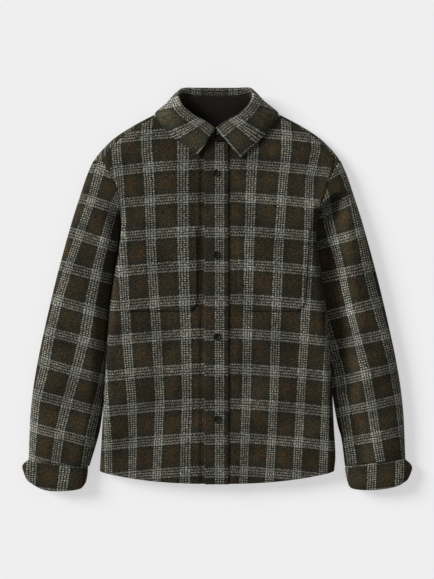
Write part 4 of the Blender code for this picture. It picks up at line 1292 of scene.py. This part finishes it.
def plaidCloth(name, look, dim=1.0):
    r = Recipe(name)
    uv, u, v = r.clothPlace()
    group, run = look["paleGroup"], look["paleRun"] + look["darkRun"]
    blotch = r.noise(uv, look["blotchScale"], 3.0)
    counts, threads, yarns = [], [], []
    for over, along, size, total, light in (
        (u, v, check["wide"], look["warpThreads"], look["paleWarp"]),
        (v, u, check["tall"], look["weftThreads"], look["paleWeft"]),
    ):
        stray = r.noise(r.point(over, along), look["wanderScale"], 3.0) - 0.5
        count = over / (size * mm / total) + stray * look["wander"]
        thread = r.floor(count)
        inRepeat = (thread + group / 2) % total
        pale = (inRepeat < group) * ((inRepeat % run) < look["paleRun"])
        # away from each pale group the dark yarns go from slate over olive to rust
        middle = r.work("ABSOLUTE", inRepeat - (group + total) / 2)
        slub = r.cloud(r.point(thread * look["threadStep"], along * look["slubScale"]), 1.0, 2.0)
        rusty = 1.0 - r.ramp(middle + blotch * look["rustStray"], *look["rustRange"])
        warm = r.blend(rusty, look["oliveYarn"], look["rustYarn"])
        slaty = r.ramp(middle + blotch * look["slateStray"], *look["slateRange"])
        dark = r.blend(slaty, warm, look["slateYarn"])
        colour = r.blend(pale, dark, [part * light for part in look["paleYarn"]] + [1.0])
        counts.append(count)
        threads.append((thread, inRepeat))
        yarns.append(r.tint(colour, 0.25 + slub * 1.5))
    pairs = r.floor(threads[0][1] / look["warpPair"]) + r.floor(threads[1][0] / look["weftPair"])
    up = (pairs % 2.0) < 1.0
    woven = r.blend(up, yarns[1], yarns[0])
    felted = r.blend(look["nap"], woven, r.blend(0.5, *yarns))
    fuzz = r.cloud(uv, look["fuzzScale"], 3.0, 0.7)
    patches = r.cloud(uv, look["patchScale"], 4.0, 0.6)
    soft = r.tint(felted, (0.35 + fuzz * 1.3) * (0.7 + patches * 0.6) * dim)
    crown = r.blend(up, *(r.work("PINGPONG", count, 0.5) for count in counts[::-1]))
    height = r.put("ShaderNodeRGBToBW", {0: crown}) * 0.8 + fuzz * 0.9
    return r.finish(soft, look["roughness"], r.bump(height, 0.00035, 0.6), look["sheen"])


brownLook = {
    "colour": (0.0225, 0.0170, 0.0145),
    "facing": (0.0068, 0.0062, 0.0048),
    "thread": 0.0006,
    "grainScale": 700.0,
    "patchScale": 30.0,
    "sheen": 0.03,
    "roughness": 0.85,
}


def brownCloth(name, look, colour):
    r = Recipe(name)
    uv, u, v = r.clothPlace()
    rib = r.work("PINGPONG", (u + v) / look["thread"], 0.5)
    grain = r.noise(uv, look["grainScale"], 3.0, 0.6)
    shade = r.tint(colour, (0.75 + grain * 0.5) * (0.65 + r.noise(uv, look["patchScale"], 2.0) * 0.7))
    return r.finish(shade, look["roughness"], r.bump(rib + grain * 0.5, 0.0001, 0.5), look["sheen"])


hornLook = {"dark": (0.008, 0.0065, 0.005, 1.0), "streak": (0.03, 0.022, 0.014, 1.0), "grainScale": 260.0}


def hornButton(name, look):
    r = Recipe(name)
    grain = r.noise(r.put("ShaderNodeTexCoord", out=3), look["grainScale"], 3.0, 0.6)
    shade = r.blend(r.ramp(grain, 0.5, 0.75), look["dark"], look["streak"])
    return r.finish(shade, 0.34 + grain * 0.2, r.bump(grain, 0.00005, 0.4))


threadLook = {"dark": (0.012, 0.0105, 0.008), "grainScale": 1500.0, "roughness": 0.6}


def sewingThread(name, look):
    r = Recipe(name)
    grain = r.noise(r.put("ShaderNodeTexCoord", out=3), look["grainScale"], 2.0)
    return r.finish(r.tint(look["dark"], 0.7 + grain * 0.6), look["roughness"], r.bump(grain, 0.00005, 0.4))


# Stitching

stitchLook = {"pitch": 3.3, "length": 2.5, "thick": 0.42, "clear": 0.5}  # clear: least height above the table


def stitchTree():
    # lays one stitch after another along every line that comes in
    tree = bpy.data.node_groups.new("stitches along lines", "GeometryNodeTree")
    tree.is_modifier = True
    inputs = {
        "Lines": "Geometry", "Pitch": "Float", "Stitch Length": "Float", "Thread Width": "Float",
        "Thread": "Material", "Seed": "Int",
    }
    for name, kind in inputs.items():
        tree.interface.new_socket(name, in_out="INPUT", socket_type="NodeSocket" + kind)
    tree.interface.new_socket("Stitches", in_out="OUTPUT", socket_type="NodeSocketGeometry")
    g = Graph(tree)
    start, end = tree.nodes.new("NodeGroupInput"), tree.nodes.new("NodeGroupOutput")
    given = {name: Wire(g, start.outputs[name]) for name in inputs}
    curve = g.put("GeometryNodeMeshToCurve", {0: given["Lines"]})
    spaced = g.put("GeometryNodeResampleCurve", {"Curve": curve, "Length": given["Pitch"]}, mode="LENGTH")
    tangent = g.put("GeometryNodeInputTangent")
    turn = g.put("FunctionNodeAlignRotationToVector", {"Vector": tangent}, axis="Z")
    stitch = g.put("GeometryNodeMeshUVSphere", {"Segments": 6, "Rings": 5, "Radius": 0.5})
    width = given["Thread Width"]
    shape = g.put("ShaderNodeCombineXYZ", {0: width, 1: width, 2: given["Stitch Length"]})
    chance = {2: 0.85, 3: 1.1, "Seed": given["Seed"]}
    wobble = g.put("FunctionNodeRandomValue", chance, out=1, data_type="FLOAT")
    size = g.put("ShaderNodeVectorMath", {0: shape, "Scale": wobble}, operation="SCALE")
    placed = {"Points": spaced, "Instance": stitch, "Rotation": turn, "Scale": size}
    real = g.put("GeometryNodeRealizeInstances", {0: g.put("GeometryNodeInstanceOnPoints", placed)})
    smooth = g.put("GeometryNodeSetShadeSmooth", {0: real})
    g.feed(end.inputs[0], g.put("GeometryNodeSetMaterial", {"Geometry": smooth, "Material": given["Thread"]}))
    return tree


def plainCopy(made, name):
    # what the modifiers make of an object, as a plain mesh on an object of its own
    graph = bpy.context.evaluated_depsgraph_get()
    mesh = bpy.data.meshes.new_from_object(made.evaluated_get(graph))
    bpy.data.objects.remove(made)
    mesh.name = name
    return addObject(name, mesh)


def stitchRun(name, lines, thread, seed, tree, look=stitchLook):
    points, joins = [], []
    for line in lines:
        start = len(points)
        points.extend(tuple(point) for point in line * mm)
        clear = line[:, 2] > look["clear"]
        joins.extend((start + k, start + k + 1) for k in range(len(line) - 1) if clear[k] and clear[k + 1])
    mesh = bpy.data.meshes.new(name)
    mesh.from_pydata(points, joins, [])
    guide = addObject(name + "_guide", mesh)
    laid = guide.modifiers.new("Stitches", "NODES")
    laid.node_group = tree
    values = {
        "Pitch": look["pitch"] * mm, "Stitch Length": look["length"] * mm,
        "Thread Width": look["thick"] * mm, "Thread": thread, "Seed": seed,
    }
    for item in tree.interface.items_tree:
        if item.in_out == "INPUT" and item.name in values:
            laid[item.identifier] = values[item.name]
    made = plainCopy(guide, name)
    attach(made, "root")
    return made


def inFrom(name, axis, distance, last=False, lift=0.1):
    # a line at a fixed distance in from a piece's first or last row (axis 0) or column (axis 1)
    sheet, up = sheets[name]
    if axis:
        sheet, up = np.swapaxes(sheet, 0, 1), np.swapaxes(up, 0, 1)
    if last:
        sheet, up = sheet[::-1], up[::-1]
    run = runLength(sheet, 0)
    index = np.maximum((run < distance).sum(0) - 1, 0)
    at = np.arange(sheet.shape[1])
    share = (distance - run[index, at]) / np.maximum(run[index + 1, at] - run[index, at], 1e-6)
    line = sheet[index, at] + share[:, None] * (sheet[index + 1, at] - sheet[index, at])
    return line + lift * up[index, at]


# Buttons

buttonCut = {
    "thick": 2.6,
    "lift": 0.7,  # over the front's cloth
    "places": ((-1.9, 225.7), (-1.0, 66.8), (0.0, -91.2), (0.0, -251.1)),
    "dish": (  # radius, depth below the top
        (0.0, 1.0), (1.6, 1.0), (3.2, 0.98), (4.1, 0.85), (4.8, 0.45), (5.3, 0.12),
        (5.8, 0.0), (6.3, 0.06), (6.75, 0.35), (7.0, 0.85),
    ),
    "underside": ((6.9, 1.0), (6.3, 0.45), (5.0, 0.0), (0.0, 0.0)),  # radius, height over the seat
    "holeAt": 1.75,
    "holeRadius": 0.85,
    "holeSides": 20,
    "holeDeep": 8.0,
    "turns": 56,
    "strand": 0.42,  # half a strand's width
    "strandTop": 0.55,
    "strandDip": 1.5,
    "strandReach": 1.08,  # past the middle of each hole, as a share
    "strandSlope": 4.5 / 1.9,  # at its ends
    "strandSides": 8,
}


def turned(name, profile, turns):
    # a closed shape turned about Z, from its top centre to its underside centre
    points, faces = [(0.0, 0.0, profile[0][1])], []
    for radius, z in profile[1:-1]:
        for k in range(turns):
            angle = 2 * np.pi * k / turns
            points.append((radius * np.cos(angle), radius * np.sin(angle), z))
    points.append((0.0, 0.0, profile[-1][1]))
    rings = len(profile) - 2
    start = 1 + (rings - 1) * turns
    for k in range(turns):
        after = (k + 1) % turns
        faces.append((0, 1 + k, 1 + after))
        for ring in range(rings - 1):
            low, high = 1 + ring * turns, 1 + (ring + 1) * turns
            faces.append((low + k, high + k, high + after, low + after))
        faces.append((len(points) - 1, start + after, start + k))
    mesh = bpy.data.meshes.new(name)
    mesh.from_pydata([tuple(np.array(point) * mm) for point in points], [], faces)
    return addObject(name, mesh)


def meshOf(shape, name):
    mesh = bpy.data.meshes.new(name)
    shape.to_mesh(mesh)
    shape.free()
    return addObject(name, mesh)


def buttonSeat(x, y):
    return bodyTop(np.array([[x, y]]), "left")[0][0, 2] + cloth["thick"] + buttonCut["lift"]


def button(index, x, y, finish):
    name = f"button_{index}"
    seat = buttonSeat(x, y)
    top = seat + buttonCut["thick"]
    profile = [(radius, top - depth) for radius, depth in buttonCut["dish"]]
    profile += [(radius, seat + height) for radius, height in buttonCut["underside"]]
    made = turned(name, profile, buttonCut["turns"])
    cutter = bmesh.new()
    radius, away = buttonCut["holeRadius"] * mm, buttonCut["holeAt"] * mm
    for dx, dy in ((1, 1), (1, -1), (-1, 1), (-1, -1)):
        cone = bmesh.ops.create_cone(
            cutter, cap_ends=True, segments=buttonCut["holeSides"], radius1=radius, radius2=radius,
            depth=buttonCut["holeDeep"] * mm,
        )
        bmesh.ops.translate(cutter, verts=cone["verts"], vec=(dx * away, dy * away, (seat + 1) * mm))
    drill = meshOf(cutter, "button_holes")
    cut = made.modifiers.new("Holes", "BOOLEAN")
    cut.object = drill
    cut.operation = "DIFFERENCE"
    cut.solver = "EXACT"
    plain = plainCopy(made, name)
    bpy.data.objects.remove(drill)
    plain.data.transform(Matrix.Translation((x * mm, y * mm, 0.0)))
    plain.data.shade_smooth()
    plain.data.set_sharp_from_angle(angle=np.radians(40))
    return wear(plain, name, "button", finish)


def buttonThread(finish):
    # two strands over each button, from hole to hole
    shape = bmesh.new()
    away, sides = buttonCut["holeAt"], buttonCut["strandSides"]
    angles = np.linspace(0, 2 * np.pi, sides, endpoint=False)
    for x, y in buttonCut["places"]:
        top = buttonSeat(x, y) + buttonCut["thick"] - buttonCut["strandTop"]
        for way in (-1, 1):
            rings = []
            for share in np.linspace(-1, 1, 9):
                arch = top - buttonCut["strandDip"] * abs(share) ** 3
                centre = np.array([x + way * away, y + share * away * buttonCut["strandReach"], arch])
                slope = -buttonCut["strandSlope"] * share * abs(share)
                up = np.array([0.0, -slope, 1.0]) / np.hypot(1.0, slope)
                around = np.outer(np.cos(angles), (1.0, 0.0, 0.0)) + np.outer(np.sin(angles), up)
                ring = centre + buttonCut["strand"] * around
                rings.append([shape.verts.new(point * mm) for point in ring])
            for first, second in zip(rings, rings[1:]):
                for k in range(sides):
                    after = (k + 1) % sides
                    shape.faces.new((first[k], first[after], second[after], second[k]))
            shape.faces.new(rings[0][::-1])
            shape.faces.new(rings[-1])
    bmesh.ops.recalc_face_normals(shape, faces=shape.faces)
    made = meshOf(shape, "button_thread")
    made.data.shade_smooth()
    return wear(made, None, "brown_cloth", finish)


# Making the garment

plaid = plaidCloth("shacket plaid", plaidLook)
bandPlaid = plaidCloth("button band plaid", plaidLook, 0.9)
collarPlaid = plaidCloth("collar plaid", {**plaidLook, **collarLook}, 1.12)
standPlaid = plaidCloth("shaded stand plaid", plaidLook, 0.45)
lining = brownCloth("neck lining brown", brownLook, brownLook["colour"])
darkFacing = brownCloth("neck facing brown", brownLook, brownLook["facing"])
horn = hornButton("button horn", hornLook)
darkThread = sewingThread("dark sewing thread", threadLook)

back(plaid)
for side in sign:
    front(side, plaid)
    pocket(side, plaid)
placket(bandPlaid)
print("body done", flush=True)
for side in sign:
    sleeve(side, plaid)
    cuff(side, plaid)
print("sleeves done", flush=True)
collar(collarPlaid)
behind = cloth["liningThick"] + 2 * cloth["seamGap"]
stand("collar_stand", behind, cloth["standThick"], "plaid_cloth", standPlaid)
stand("stand_lining", 0.0, cloth["liningThick"], "brown_cloth", lining)
neckFacing(darkFacing)
print("collar done", flush=True)
for index, (x, y) in enumerate(buttonCut["places"], 1):
    button(index, x, y, horn)
buttonThread(darkThread)

# each piece's stitch lines: along its rows (0) or columns (1), how far in,
# and whether that is counted from the last one
tree = stitchTree()
sewn = [("placket", 3, ((1, 2.2, False), (1, 2.2, True)))]
for side in sign:
    sewn.append(("pocket_" + side, 5, ((1, 2.0, False), (1, 2.0, True), (0, 2.0, True), (0, 22.0, False))))
    sewn.append(("cuff_" + side, 7, ((0, 2.2, False), (0, 5.5, True))))
    sewn.append(("front_" + side, 9, ((0, 20.0, True),)))
sewn.append(("collar", 11, ((1, 5.0, True),)))
for name, seed, places in sewn:
    stitchRun(name + "_stitching", [inFrom(name, *place) for place in places], darkThread, seed, tree)
print("stitching done", flush=True)


# The table, the light and the camera

studio = {
    "table": (0.35, 0.35, 0.35, 1.0),
    "tableGlow": 0.532,
    "tableReach": 14.0,
    "tableTop": -0.0001,
    "sky": (1.0, 1.0, 1.0, 1.0),
    "skyStrength": 0.32,
    "sunStrength": 4.43,
    "sunAngle": 24.0,
    "sunFrom": (-0.86, 0.42, 0.48),
    "cameraHeight": 3.2,
    "frameTall": 1.129,
    "measuredAt": 0.015,  # height at which the frame's size holds
}

tableMesh = bpy.data.meshes.new("table")
reach = studio["tableReach"]
corners = [(x * reach, y * reach, studio["tableTop"]) for x, y in ((-1, -1), (1, -1), (1, 1), (-1, 1))]
tableMesh.from_pydata(corners, [], [(0, 1, 2, 3)])
table = addObject("table", tableMesh)
tableTop = Recipe("table top")
for name, value in (
    ("Base Color", studio["table"]), ("Roughness", 1.0), ("Specular IOR Level", 0.0),
    ("Emission Color", (1.0, 1.0, 1.0, 1.0)), ("Emission Strength", studio["tableGlow"]),
):
    tableTop.feed(tableTop.shader.inputs[name], value)
tableMesh.materials.append(tableTop.material)

world = bpy.data.worlds.new("studio")
bpy.context.scene.world = world
world.use_nodes = True
sky = world.node_tree.nodes["Background"]
sky.inputs["Color"].default_value = studio["sky"]
sky.inputs["Strength"].default_value = studio["skyStrength"]

sunData = bpy.data.lights.new("soft sun", "SUN")
sunData.energy = studio["sunStrength"]
sunData.angle = np.radians(studio["sunAngle"])
sun = addObject("soft sun", sunData)
sunX, sunY, sunZ = unit(np.array(studio["sunFrom"]))
sun.rotation_euler = (np.arccos(sunZ), 0.0, np.arctan2(sunY, sunX) + np.pi / 2)

cameraData = bpy.data.cameras.new("camera")
away = studio["cameraHeight"] - studio["measuredAt"]
cameraData.lens = cameraData.sensor_width * away / studio["frameTall"]
camera = addObject("camera", cameraData)
camera.location = (0.0, 0.0, studio["cameraHeight"])
bpy.context.scene.camera = camera
bpy.context.scene.view_settings.view_transform = "Standard"
print("studio done", flush=True)
